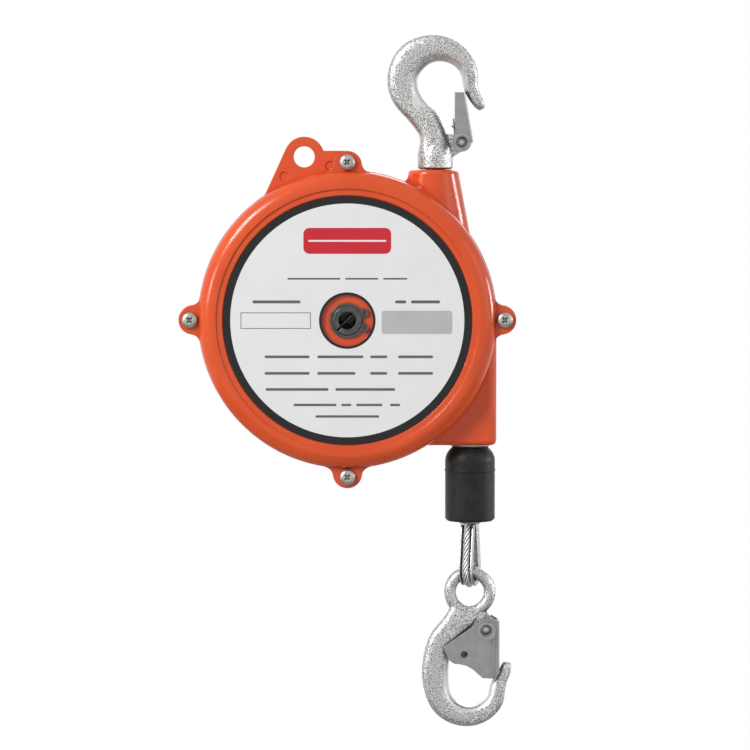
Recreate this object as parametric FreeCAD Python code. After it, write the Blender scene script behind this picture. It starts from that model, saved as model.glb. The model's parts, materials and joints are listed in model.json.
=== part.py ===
import FreeCAD, Part
import math
import os

from FreeCAD import Matrix, Rotation, Vector

# Spring tool balancer: a die-cast drum housing that turns under a suspension hook, with a spring
# drum inside, and a wire rope that leaves the housing and carries a second hook.
# Millimetres. +Z is up and -Y is the front, where the name plate is. The origin is the seat in
# the crown of the suspension hook, on the swivel's axis.

# Clearances
RUNNING = 0.05      # radial, between a shaft and what turns on it
GAP = 0.3           # between faces of different bodies
PLATE_GAP = 0.2     # between stacked pieces of one body that only lie together

# Main layout
CABLE_OFFSET = 17.8         # rope line to the right of the swivel's axis
CABLE_RADIUS = 62.2         # rope line to the drum's axis
NUT_ROOM = 2.88             # end of the hook's stem to the drum's flange

# Wire rope
ROPE_R = 1.5
ROPE_LAYERS = 2
ROPE_TURNS = 5              # turns side by side in each layer
ROPE_PITCH = 3.3
LAYER_STEP = 2.7

# Drum
DRUM_WALL = 2.5
DRUM_HALF = 17.0            # half the drum's length along its axis
FLANGE_OVER = 2.8           # rope flange beyond the outer turns of rope
FLANGE_T = 2.5
WEB_T = 2.7
HUB_R = 12.0
BUSH_WALL = 2.0
BUSH_FLANGE_T = 1.3
LID_SCREWS = 4
LID_SCREW_R = 1.5
LID_SCREW_OUT = 1.4         # screw's centre outside the barrel
LID_SCREW_GRIP = 3.0        # thread in the drum's boss
LID_HEAD_R = 2.7
LID_HEAD_H = 1.2
LID_BOSS_R = 3.2

# Main spring
SPRING_T = 0.8
SPRING_WIDTH = 24.0
SPRING_TURNS = 9.25        # ends at the drum's rivet
SPRING_WALL_GAP = 1.1       # outermost coil to the drum's wall, room for the rivet's head

RIVET_HEAD_T = 0.7
SPRING_RIVET_R = 1.5
SPRING_RIVET_HEAD_R = 2.6
SPRING_RIVET_TURN = 135     # clock direction, seen from the front

# Rope's anchor
ANCHOR_LEAN = 0.55          # sideways run of the rope's end for each millimetre to the front
ANCHOR_LENGTH = 12.0
SLEEVE_WALL = 1.1
SLEEVE_LENGTH = 5.0

# Arbor
ARBOR_R = 7.5
ARBOR_BORE_R = 4.45
ARBOR_BLIND = 3.0           # solid end behind the bore
ARBOR_FRONT = 2.0           # how far the arbor stands out of the cover's hub face
ARBOR_FLAT = 6.4            # axis to each flat at the rear end
SLIT_W = 1.1
SLIT_TURN = 225.0           # clock direction of the slit, from 12 o'clock, seen from the front
CIRCLIP_T = 1.0
CIRCLIP_W = 1.35
CIRCLIP_GROOVE = 0.35
CIRCLIP_EYE_R = 2.1
CIRCLIP_EYE_OUT = 0.6       # centre of each eye beyond the ring's edge
CIRCLIP_EYE_HOLE_R = 0.9
CIRCLIP_EYE_TURN = 24.0     # each eye from the middle of the mouth, degrees
CIRCLIP_MOUTH = 3.4         # half the mouth's width

# Housing and cover
RIM_WALL = 4.0              # drum's space to the outside of the rim
SPLIT_Y = -13.5
COVER_DEPTH = 10.8
SKIRT = 3.0                 # straight part of the cover's rim
WALL = 3.5
FLANGE_PROUD = 0.3          # housing flange beyond the cover's rim
FLANGE_DEPTH = 4.5
DRAFT = 2.0                 # how much the housing's wall closes in towards the back
SIDE_GAP = 4.5              # drum flange to the housing's wall
END_GAP = 1.5               # drum hub face to the ribs of the cover
REAR_EDGE = 5.0
RIBS = 8
RIB_H = 1.4
RIB_T = 2.4
STEP_IN = 9.0               # rim to the edge of the raised shoulder
STEP_H = 0.6
LABEL_IN = 3.6              # shoulder's edge to the name plate
LABEL_T = 0.5
LABEL_MARGIN = 0.4
LABEL_HOLE_R = 14.1
HUB_RECESS = 1.0
REAR_HUB_R = 14.5
REAR_HUB_H = 4.0

# Cover screws and their ears
EAR_R = 7.35
EAR_OUT = 2.6               # ear's centre outside the rim
EAR_FILLET = 5.0
SCREW_OUT = 4.3             # screw's centre outside the rim
SCREW_R = 2.0
SCREW_HEAD_R = 4.0
SCREW_HEAD_H = 2.6
SCREW_LENGTH = 14.0
SCREW_FIT = 0.15
BOSS_R = 5.8
BOSS_DEPTH = 13.0

# Safety ear, for the second suspension
SAFETY_OUT = 9.73           # hole's centre outside the rim
SAFETY_TURN = -14.84        # clock direction from the drum's axis, degrees
SAFETY_HOLE_R = 5.3
SAFETY_R = 10.1
SAFETY_SLOPE = 24.4         # lean of its straight side from the vertical, degrees
SAFETY_FILLET = 8.0         # hollow where its side runs into the rim
MARK_DEPTH = 0.4

# Swivel
STEM_R = 5.0
COLLAR_R = 8.85
COLLAR_TOP = -39.7
BOSS_TOP = -54.5
SWIVEL_BOSS_R = 12.5
SWIVEL_BOSS_SHIFT = -1.0
SWIVEL_BEARING = 9.5        # length of the bore that carries the stem
POCKET_R = 9.5
NUT_R = 7.5
NUT_H = 5.0
WASHER_R = 9.0
WASHER_T = 1.5
STEM_TIP = 0.8
NUT_PIN_R = 1.0
BOSS_DEEP = 38.0            # how far the swivel's boss runs into the housing
BOSS_SPREAD = (17.95, 12.5)     # half sizes at its foot, across and front to back
BOSS_FOOT_X = 0.65
BOSS_ROUND = 2.2

# Rope outlet
OUTLET_LEFT = 40.0          # where the flat bottom leaves the rim, from the drum's axis
OUTLET_HALF = 13.0
OUTLET_EDGE = 4.5
GUIDE_FLANGE_R = 10.1
GUIDE_FLANGE_T = 1.5
GUIDE_R = 7.0
GUIDE_LENGTH = 15.0
GUIDE_BORE_R = 2.1
GUIDE_FLARE = 4.0

# Rubber buffer and ferrule
BUFFER_R = 12.65
BUFFER_TOP_R = 9.1
BUFFER_LENGTH = 37.4
BUFFER_DOME = 8.0
BUFFER_CHAMFER = 1.2
BUFFER_BORE_R = 2.0
SEAM_DROP = 11.6
SEAM_H = 0.25
FERRULE_R = 4.6
FERRULE_LENGTH = 28.0
FERRULE_FLANGE_R = 5.6
FERRULE_FLANGE_T = 1.4

# Rope loop and thimble
LOOP_LENGTH = 33.0          # ferrule's flange to the bottom of the rope
LOOP_R = 7.2                # rope line of the crown
LOOP_NECK = 1.7             # half the distance between the legs at the ferrule
LOOP_TURN = -17.8           # turn of the loop about the rope line, degrees
THIMBLE_W = 4.6
THIMBLE_T = 0.9
THIMBLE_LIP = 0.2
THIMBLE_FIT = 0.05
THIMBLE_TOP = 6.0           # ferrule's flange to the thimble's open end

# Suspension hook
TOP_BOWL_R = 11.44
TOP_BOWL_X = 2.4
TOP_BACK_R = 23.0
TOP_BACK_X = -3.66          # centre of the hook's back, from the centre of its bowl
TOP_BACK_Z = 2.29
TOP_DEPTH = 6.0             # half the hook's thickness
TOP_PIVOT_X = 13.2
TOP_PIVOT_Z = -40.5
TOP_LUG_R = 4.2
TOP_LUG_HALF = 2.2
TOP_TIP_R = 2.4
TOP_LATCH_TOP = -15.5
TOP_LATCH_LEFT = 9.9
TOP_LATCH_TIP = 4.9         # width of the latch at its top
TOP_LATCH_HEEL = 6.0        # pivot to the latch's heel

# Load hook, measured from the centre of its eye
EYE_R = 7.1
EYE_LAND = 0.15             # depth of the flat land inside the eye
EYE_BAR_R = 3.08
EYE_DROP = 2.1              # eye centre below the bottom of the rope loop
BOWL_R = 10.7
BOWL_DROP = 47.7
BACK_HALF = 6.5             # half width of the bar at the back of the bowl
FRONT_HALF = 3.9            # and at the front
HOOK_DEPTH = 4.8
SHANK_Z = -33.0
TIP_X = 18.8
TIP_Z = -37.9
TIP_R = 2.55
PIVOT_X = 8.1
PIVOT_Z = -18.6
LUG_R = 5.1
LUG_HALF = 2.6
LATCH_WEB = 15.0            # outer face of the latch's web, from the eye's centre
LATCH_WEB_END = 1.1         # its lower end below the tip's centre
LATCH_HOLE_X = -2.9
LATCH_HOLE_Z = -31.5
LATCH_HOLE_R = 1.8

# Latches
SHEET = 1.2
RIVET_R = 2.0
RIVET_HEAD_R = 3.1
RIVET_HEAD_H = 1.3
RIVET_FIT = 0.1             # under each head
WIRE_R = 0.4
WIRE_PITCH = 2.1            # coil's pitch in wire radii
COIL_R = 3.0
COIL_TURNS = 1
SPRING_ROOM = 2.9           # from a lug's face to the latch's cheek, for the coil

# Sections of the forged bars, as exponents of a superellipse
ROUND_EDGE = 2.1
SQUARE_EDGE = 3.4
SECTION_POINTS = 16

UP = Vector(0, 0, 1)
BACK = Vector(0, 1, 0)


# What follows from the sizes above
HUB_LENGTH = DRUM_HALF - SPRING_WIDTH / 2 - GAP      # the drum's hubs reach to the spring's edges
FLANGE_R = CABLE_RADIUS + ROPE_R + FLANGE_OVER
CAVITY_R = FLANGE_R + SIDE_GAP
RIM_R = CAVITY_R + RIM_WALL
HOUSING_R = RIM_R + FLANGE_PROUD
STEP_R = RIM_R - STEP_IN
LABEL_R = STEP_R - LABEL_IN
EAR_OFFSET = RIM_R + EAR_OUT
SCREW_OFFSET = RIM_R + SCREW_OUT
SAFETY_X = (RIM_R + SAFETY_OUT) * math.sin(math.radians(SAFETY_TURN))
SAFETY_Z = (RIM_R + SAFETY_OUT) * math.cos(math.radians(SAFETY_TURN))
BASE_R = CABLE_RADIUS - ROPE_R - LAYER_STEP * (ROPE_LAYERS - 1)
DRUM_BORE_R = BASE_R - DRUM_WALL
BAND_HALF = ROPE_PITCH * ROPE_TURNS / 2
FLANGE_IN = BAND_HALF + GAP / 2
FRONT_Y = SPLIT_Y - COVER_DEPTH
LABEL_Y = FRONT_Y + STEP_H * 2
HUB_FACE_Y = LABEL_Y + HUB_RECESS
THRUST_Y = DRUM_HALF + BUSH_FLANGE_T + GAP
END_IN_Y = THRUST_Y + END_GAP
REAR_Y = END_IN_Y + WALL
REAR_END_Y = REAR_Y + REAR_HUB_H
BORE_R = ARBOR_R + BUSH_WALL
STEM_END = BOSS_TOP - SWIVEL_BEARING - WASHER_T - NUT_H - GAP - STEM_TIP
DRUM_X = CABLE_OFFSET - CABLE_RADIUS
DRUM_Z = STEM_END - NUT_ROOM - math.sqrt(FLANGE_R ** 2 - (DRUM_X + NUT_R) ** 2)
OUTLET_BOTTOM = DRUM_Z - math.sqrt(HOUSING_R ** 2 - OUTLET_LEFT ** 2)
FERRULE_BOTTOM = OUTLET_BOTTOM - GUIDE_FLANGE_T - GAP - BUFFER_LENGTH
LOOP_TOP = FERRULE_BOTTOM - FERRULE_FLANGE_T
LOOP_BOTTOM = LOOP_TOP - LOOP_LENGTH
LOOP_CENTRE = LOOP_BOTTOM + ROPE_R + LOOP_R
EYE_Z = LOOP_BOTTOM - EYE_DROP
TOP_LATCH_GAP = TOP_LUG_HALF + SPRING_ROOM      # half the room between the latch's cheeks
LATCH_ROOM = HOOK_DEPTH + GAP


# ---------------------------------------------------------------- helpers

def at_drum(x, y, z):
    """A point given from the drum's axis."""
    return Vector(DRUM_X + x, y, DRUM_Z + z)


def face_of(points):
    """Flat face from corner points."""
    return Part.Face(Part.makePolygon(points + [points[0]]))


def turned_y(profile, x=DRUM_X, z=DRUM_Z):
    """Solid of revolution about an axis along Y, from (radius, y) points."""
    face = face_of([Vector(x + r, y, z) for r, y in profile])
    return face.revolve(Vector(x, 0, z), BACK, 360)


def turned_z(profile, x=0.0):
    """Solid of revolution about an axis along Z, from (radius, z) points."""
    face = face_of([Vector(x + r, 0, z) for r, z in profile])
    return face.revolve(Vector(x, 0, 0), UP, 360)


def disc_y(radius, y0, y1, x=DRUM_X, z=DRUM_Z):
    """Cylinder along Y between two depths."""
    return Part.makeCylinder(radius, y1 - y0, Vector(x, y0, z), BACK)


def rod_z(radius, z0, z1, x=0.0):
    """Cylinder along Z between two heights."""
    return Part.makeCylinder(radius, z1 - z0, Vector(x, 0, z0), UP)


def plate(points, y0, y1):
    """Plate parallel to the front, from (x, z) corners, between two depths."""
    face = face_of([Vector(x, y0, z) for x, z in points])
    return face.extrude(Vector(0, y1 - y0, 0))


def around_drum(shape, degrees):
    """Copy turned about the drum's axis, clockwise seen from the front."""
    copy = shape.copy()
    copy.rotate(at_drum(0, 0, 0), BACK, degrees)
    return copy


def fuse_all(shapes):
    """One solid from overlapping or touching shapes."""
    return shapes[0].multiFuse(shapes[1:]).removeSplitter()


def edges_where(shape, test):
    """Edges whose centre passes the test."""
    return [edge for edge in shape.Edges if test(edge)]


def oval(centre, direction, half_width, half_depth, round_side):
    """Closed curve of a forged bar's section, square to a direction in the XZ plane.

    One side of the section is nearly square and the other is round, round_side being 1 for the
    bar's right and -1 for its left, seen from the front along the direction.
    """
    across = Vector(direction.z, 0, -direction.x).normalize()
    points = []
    for step in range(SECTION_POINTS):
        angle = 2 * math.pi * step / SECTION_POINTS
        c, s = math.cos(angle), math.sin(angle)
        power = SQUARE_EDGE + (ROUND_EDGE - SQUARE_EDGE) * (1 + round_side * c) / 2
        size = (abs(c) ** power + abs(s) ** power) ** (-1 / power)
        points.append(centre + across * (half_width * c * size) + BACK * (half_depth * s * size))
    curve = Part.BSplineCurve()
    curve.interpolate(Points=points, PeriodicFlag=True)
    return Part.Wire(curve.toShape())


def forged_bar(stations, round_side):
    """Loft through (x, z, half width, half depth) stations along a bent bar."""
    centres = [Vector(x, 0, z) for x, z, _, _ in stations]
    wires = []
    for i, (_, _, width, depth) in enumerate(stations):
        before = centres[max(i - 1, 0)]
        after = centres[min(i + 1, len(centres) - 1)]
        wires.append(oval(centres[i], (after - before).normalize(), width, depth, round_side))
    return Part.makeLoft(wires, True, False)


def pan_screw(head_r, head_h, shank_r, length):
    """Screw along -Y with its head's seat at the origin and its head to the front."""
    crown = head_h * 0.45
    profile = [
        (0, -head_h), (head_r * 0.55, -head_h), (head_r * 0.88, -head_h + crown * 0.45),
        (head_r, -head_h + crown), (head_r, 0), (shank_r, 0), (shank_r, length), (0, length),
    ]
    return turned_y(profile, 0, 0)


def rivet(x, z, half_length):
    """Rivet along Y with a domed head at each end."""
    head = [(0, 0), (RIVET_HEAD_R, 0), (RIVET_HEAD_R * 0.8, RIVET_HEAD_H * 0.7), (0, RIVET_HEAD_H)]
    rear = turned_y([(r, half_length + y) for r, y in head], x, z)
    front = turned_y([(r, -half_length - y) for r, y in head], x, z)
    return fuse_all([disc_y(RIVET_R, -half_length, half_length, x, z), rear, front])


def torsion_spring(x, z, y0, leg_angles, leg_lengths):
    """Coil about a rivet with two straight legs, angles in degrees from +X towards +Z."""
    turns = COIL_TURNS + ((leg_angles[1] - leg_angles[0]) % 360) / 360
    pitch = WIRE_R * WIRE_PITCH
    helix = Part.makeHelix(pitch, pitch * turns, COIL_R)
    ring = Part.Wire(Part.makeCircle(WIRE_R, Vector(COIL_R, 0, 0), BACK))
    coil = Part.Wire(helix).makePipeShell([ring], True, True)
    coil.rotate(Vector(0, 0, 0), Vector(1, 0, 0), 90)
    coil.rotate(Vector(0, 0, 0), BACK, -(leg_angles[0] + 90))
    coil.translate(Vector(x, y0, z))
    legs = []
    for angle, length, y, side in zip(leg_angles, leg_lengths, (y0, y0 - pitch * turns), (1, -1)):
        along = Vector(math.cos(math.radians(angle)), 0, math.sin(math.radians(angle)))
        across = Vector(-along.z, 0, along.x)
        start = Vector(x, y, z) - across * (COIL_R * side)
        legs.append(Part.makeCylinder(WIRE_R, length, start, along))
    return fuse_all([coil] + legs)


# ---------------------------------------------------------------- suspension hook

def top_outer_radius(angle):
    """Bowl centre to the back of the suspension hook, in a direction given in radians."""
    toward = TOP_BACK_X * math.cos(angle) + TOP_BACK_Z * math.sin(angle)
    offset = TOP_BACK_X ** 2 + TOP_BACK_Z ** 2
    return toward + math.sqrt(TOP_BACK_R ** 2 - offset + toward ** 2)


def suspension_hook():
    """Forged hook with an S-shaped shank, collar, swivel stem and a lug for the latch."""
    stations = [
        (0.0, COLLAR_TOP - 5.0, COLLAR_R - 0.9, COLLAR_R - 0.9),
        (-0.9, COLLAR_TOP + 1.0, 7.0, 7.4),
        (-2.6, COLLAR_TOP + 6.0, 6.6, 7.1),
        (-6.4, COLLAR_TOP + 12.0, 6.9, 6.7),
        (-11.9, COLLAR_TOP + 18.0, 6.9, TOP_DEPTH + 0.3),
    ]
    for degrees in range(180, -1, -30):
        angle = math.radians(degrees)
        outer = top_outer_radius(angle)
        middle = (outer + TOP_BOWL_R) / 2
        stations.append((
            TOP_BOWL_X + middle * math.cos(angle), -TOP_BOWL_R + middle * math.sin(angle),
            (outer - TOP_BOWL_R) / 2, TOP_DEPTH - (1.2 if degrees == 0 else 0.0),
        ))
    tip_x = TOP_BOWL_X + top_outer_radius(0) + 1.2
    stations += [
        (tip_x - 3.2, -TOP_BOWL_R - 5.8, 3.3, TOP_DEPTH * 0.7),
        (tip_x, -TOP_BOWL_R - 11.2, TOP_TIP_R, TOP_DEPTH * 0.55),
        (tip_x + 0.7, -TOP_BOWL_R - 12.7, TOP_TIP_R * 0.5, TOP_DEPTH * 0.28),
    ]
    collar = turned_z([(0, COLLAR_TOP), (COLLAR_R - 2.0, COLLAR_TOP), (COLLAR_R - 0.7, COLLAR_TOP - 3.3),
                       (COLLAR_R, COLLAR_TOP - 7.3), (COLLAR_R, BOSS_TOP + GAP + 0.8),
                       (COLLAR_R - 0.8, BOSS_TOP + GAP), (0, BOSS_TOP + GAP)])
    stem = rod_z(STEM_R, STEM_END, BOSS_TOP + GAP + 1)
    lug = fuse_all([
        disc_y(TOP_LUG_R, -TOP_LUG_HALF, TOP_LUG_HALF, TOP_PIVOT_X, TOP_PIVOT_Z),
        plate([(TOP_PIVOT_X - 1.6, TOP_PIVOT_Z + TOP_LUG_R * 0.92), (3.0, TOP_PIVOT_Z + 4.0),
               (3.0, TOP_PIVOT_Z - 8.0), (COLLAR_R, TOP_PIVOT_Z - 7.6),
               (TOP_PIVOT_X + 2.4, TOP_PIVOT_Z - TOP_LUG_R * 0.82)], -TOP_LUG_HALF, TOP_LUG_HALF),
    ])
    hook = fuse_all([forged_bar(stations, 1), collar, stem, lug])
    pin_z = STEM_END + STEM_TIP + NUT_H / 2
    pin_hole = Part.makeCylinder(NUT_PIN_R, 4 * STEM_R, Vector(-2 * STEM_R, 0, pin_z), Vector(1, 0, 0))
    rivet_hole = disc_y(RIVET_R, -TOP_DEPTH, TOP_DEPTH, TOP_PIVOT_X, TOP_PIVOT_Z)
    return hook.cut(pin_hole).cut(rivet_hole)


def suspension_latch():
    """Pressed latch: two cheeks about the lug, joined by a web that closes the hook's mouth."""
    tip_x = TOP_LATCH_LEFT + TOP_LATCH_TIP
    heel_x = TOP_PIVOT_X + TOP_LATCH_HEEL
    outline = [
        (TOP_LATCH_LEFT, TOP_LATCH_TOP), (tip_x, TOP_LATCH_TOP), (heel_x, TOP_PIVOT_Z),
        (heel_x - 2.6, TOP_PIVOT_Z - 1.2), (TOP_PIVOT_X + 2.0, TOP_PIVOT_Z - 3.4),
        (TOP_PIVOT_X - 1.2, TOP_PIVOT_Z - 3.7), (TOP_LATCH_LEFT, TOP_PIVOT_Z - 1.6),
    ]
    half = TOP_LATCH_GAP + SHEET
    body = plate(outline, -half, half)
    corner = edges_where(body, lambda e: abs(e.CenterOfMass.y) > half - RUNNING
                         and abs(e.CenterOfMass.x - (tip_x + heel_x) / 2) < SHEET
                         and e.CenterOfMass.z > TOP_PIVOT_Z)
    body = body.makeFillet(SHEET, corner)
    room = plate([
        (TOP_LATCH_LEFT - 5, TOP_LATCH_TOP + 5), (tip_x - SHEET, TOP_LATCH_TOP + 5),
        (tip_x - SHEET, TOP_LATCH_TOP), (heel_x - SHEET, TOP_PIVOT_Z + 1.5),
        (heel_x + 5, TOP_PIVOT_Z + 1.5), (heel_x + 5, TOP_PIVOT_Z - 9),
        (TOP_LATCH_LEFT - 5, TOP_PIVOT_Z - 9),
    ], -TOP_LATCH_GAP, TOP_LATCH_GAP)
    hole = disc_y(RIVET_R + RUNNING, -half - 1, half + 1, TOP_PIVOT_X, TOP_PIVOT_Z)
    return body.cut(room).cut(hole)


def swivel_parts():
    """Washer, nut and cross pin that hold the stem in the housing's boss."""
    washer_top = BOSS_TOP - SWIVEL_BEARING - GAP
    washer = rod_z(WASHER_R, washer_top - WASHER_T, washer_top).cut(
        rod_z(STEM_R, washer_top - 2 * WASHER_T, washer_top + 1))
    nut_top = washer_top - WASHER_T
    corners = [Vector(NUT_R * math.cos(math.radians(60 * i)), NUT_R * math.sin(math.radians(60 * i)),
                      nut_top - NUT_H) for i in range(6)]
    nut = face_of(corners).extrude(Vector(0, 0, NUT_H))
    nut = nut.common(turned_z([(0, nut_top - NUT_H), (NUT_R * 0.9, nut_top - NUT_H),
                               (NUT_R, nut_top - NUT_H * 0.82), (NUT_R, nut_top), (0, nut_top)]))
    nut = nut.cut(rod_z(STEM_R, nut_top - NUT_H - 1, nut_top + 1))
    pin_z = nut_top - NUT_H / 2
    pin = Part.makeCylinder(NUT_PIN_R, 2 * NUT_R, Vector(-NUT_R, 0, pin_z), Vector(1, 0, 0))
    return washer, nut.cut(pin), pin


# ---------------------------------------------------------------- housing and cover

def ear(angle, y0, y1):
    """Screw ear that runs into the rim with a hollow fillet on each side."""
    fillet_from_axis = RIM_R + EAR_FILLET
    fillet_from_ear = EAR_R + EAR_FILLET
    out = (EAR_OFFSET ** 2 + fillet_from_axis ** 2 - fillet_from_ear ** 2) / (2 * EAR_OFFSET)
    side = math.sqrt(fillet_from_axis ** 2 - out ** 2)
    root = (RIM_R - WALL / 2) / fillet_from_axis
    web = plate([(DRUM_X, DRUM_Z + EAR_OFFSET), (DRUM_X + side, DRUM_Z + out),
                 (DRUM_X + side * root, DRUM_Z + out * root),
                 (DRUM_X - side * root, DRUM_Z + out * root),
                 (DRUM_X - side, DRUM_Z + out)], y0, y1)
    for way in (-1, 1):
        web = web.cut(disc_y(EAR_FILLET, y0 - 1, y1 + 1, DRUM_X + way * side, DRUM_Z + out))
    tab = disc_y(EAR_R, y0, y1, DRUM_X, DRUM_Z + EAR_OFFSET)
    return around_drum(fuse_all([tab, web]), angle)


def at_ears(make):
    """One shape for each of the four ears."""
    return [make(90 * i) for i in range(4)]


def front_cover():
    """Dished cover with a raised shoulder, a recess for the name plate and ribs inside."""
    skirt_y = SPLIT_Y - SKIRT
    shoulder = COVER_DEPTH - SKIRT
    arc_r = RIM_R - shoulder
    bend = [(arc_r + shoulder * math.cos(math.radians(a)), skirt_y - shoulder * math.sin(math.radians(a)))
            for a in (0, 45, 90)]
    outline = [
        Part.LineSegment(at_drum(RIM_R, SPLIT_Y, 0), at_drum(bend[0][0], bend[0][1], 0)),
        Part.Arc(*[at_drum(r, y, 0) for r, y in bend]),
    ]
    corners = [
        bend[2], (STEP_R, FRONT_Y), (STEP_R - 0.3, FRONT_Y + STEP_H),
        (LABEL_R + LABEL_MARGIN, FRONT_Y + STEP_H), (LABEL_R + LABEL_MARGIN, LABEL_Y),
        (LABEL_HOLE_R - 0.4, LABEL_Y), (LABEL_HOLE_R - 1.2, HUB_FACE_Y),
        (ARBOR_R + RUNNING, HUB_FACE_Y), (ARBOR_R + RUNNING, -THRUST_Y),
        (HUB_R + 1.5, -THRUST_Y), (HUB_R + 2.5, -END_IN_Y),
        (CAVITY_R - 4, -END_IN_Y), (CAVITY_R, -END_IN_Y + 4),
        (CAVITY_R, SPLIT_Y), (RIM_R, SPLIT_Y),
    ]
    places = [at_drum(r, y, 0) for r, y in corners]
    outline += [Part.LineSegment(a, b) for a, b in zip(places, places[1:])]
    dish = Part.Face(Part.Wire([line.toShape() for line in outline])).revolve(
        at_drum(0, 0, 0), BACK, 360)
    ears = at_ears(lambda a: ear(a, SPLIT_Y - FLANGE_DEPTH, SPLIT_Y))
    cover = fuse_all([dish] + [e.cut(disc_y(CAVITY_R, SPLIT_Y - 9, SPLIT_Y + 1)) for e in ears])
    rib = plate([(DRUM_X - RIB_T / 2, DRUM_Z + HUB_R + 1), (DRUM_X + RIB_T / 2, DRUM_Z + HUB_R + 1),
                 (DRUM_X + RIB_T / 2, DRUM_Z + CAVITY_R - 2),
                 (DRUM_X - RIB_T / 2, DRUM_Z + CAVITY_R - 2)],
                -END_IN_Y - 0.5, -END_IN_Y + RIB_H - GAP)
    cover = fuse_all([cover] + [around_drum(rib, 360 / RIBS * (i + 0.5)) for i in range(RIBS)])
    holes = at_ears(lambda a: around_drum(
        disc_y(SCREW_R + SCREW_FIT, SPLIT_Y - 9, SPLIT_Y + 1, DRUM_X, DRUM_Z + SCREW_OFFSET), a))
    return cover.cut(Part.makeCompound(holes))


def rim_hollow(x, z, slope_x, slope_z, radius):
    """Centre, foot and side of the hollow between the rim and a line given from the drum's axis.

    The line runs through (x, z) along (slope_x, slope_z), and the hollow lies to its left.
    """
    out_x, out_z = -slope_z, slope_x
    away = x * out_x + z * out_z + radius
    reach = math.sqrt((RIM_R + radius) ** 2 - away ** 2)
    return away * out_x + reach * slope_x, away * out_z + reach * slope_z


def safety_ear():
    """Flat ear with the hole for the safety rope, joined to the top screw ear."""
    lean = math.radians(SAFETY_SLOPE)
    left = (SAFETY_X - SAFETY_R * math.cos(lean), SAFETY_Z + SAFETY_R * math.sin(lean))
    hollow = rim_hollow(*left, math.sin(lean), math.cos(lean), SAFETY_FILLET)
    beside = SAFETY_FILLET * math.cos(lean), -SAFETY_FILLET * math.sin(lean)
    scale = (RIM_R - WALL) / (RIM_R + SAFETY_FILLET)
    top = EAR_OFFSET + EAR_R
    back_y = SPLIT_Y + FLANGE_DEPTH
    web = plate([(DRUM_X + x, DRUM_Z + z) for x, z in (
        left, (hollow[0] + beside[0], hollow[1] + beside[1]), hollow,
        (hollow[0] * scale, hollow[1] * scale), (0, RIM_R - WALL), (0, top),
        (SAFETY_X + SAFETY_R / 2, top), (SAFETY_X, SAFETY_Z))], SPLIT_Y, back_y)
    web = web.cut(disc_y(SAFETY_FILLET, SPLIT_Y - 1, back_y + 1, DRUM_X + hollow[0], DRUM_Z + hollow[1]))
    disc = disc_y(SAFETY_R, SPLIT_Y, back_y, DRUM_X + SAFETY_X, DRUM_Z + SAFETY_Z)
    return fuse_all([web, disc])


def swivel_boss():
    """Round boss on top of the housing that widens and leans into the rim."""
    top = Part.Wire(Part.makeCircle(SWIVEL_BOSS_R, Vector(SWIVEL_BOSS_SHIFT, 0, BOSS_TOP), UP))
    foot = Part.Wire(Part.Ellipse(Vector(BOSS_FOOT_X, 0, BOSS_TOP - BOSS_DEEP), *BOSS_SPREAD).toShape())
    boss = Part.makeLoft([foot, top], True, True)
    top_edge = edges_where(boss, lambda e: e.BoundBox.ZMin > BOSS_TOP - RUNNING)
    boss = boss.makeFillet(BOSS_ROUND, top_edge)
    left = SWIVEL_BOSS_SHIFT - SWIVEL_BOSS_R
    foot = plate([(0, BOSS_TOP - 3), (left, BOSS_TOP - 3), (left - 0.6, BOSS_TOP - 4.4),
                  (left - 2.2, BOSS_TOP - 6.2), (left - 6, BOSS_TOP - 8), (0, BOSS_TOP - 30)], -5, 5)
    return [boss, foot]


def outlet_block():
    """Square shoulder of the housing that the rope leaves through."""
    right = HOUSING_R
    block = plate([(DRUM_X + OUTLET_LEFT, OUTLET_BOTTOM), (DRUM_X + right, OUTLET_BOTTOM),
                   (DRUM_X + right, DRUM_Z), (DRUM_X + OUTLET_LEFT, DRUM_Z)], -OUTLET_HALF, OUTLET_HALF)
    upright = edges_where(block, lambda e: e.CenterOfMass.x > DRUM_X + right - 0.1
                          and abs(e.CenterOfMass.y) > OUTLET_HALF - 0.1)
    block = block.makeFillet(OUTLET_EDGE, upright)
    under = edges_where(block, lambda e: e.CenterOfMass.z < OUTLET_BOTTOM + 0.1
                        and e.CenterOfMass.x > DRUM_X + OUTLET_LEFT + 1)
    return block.makeFillet(2.5, under)


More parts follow.
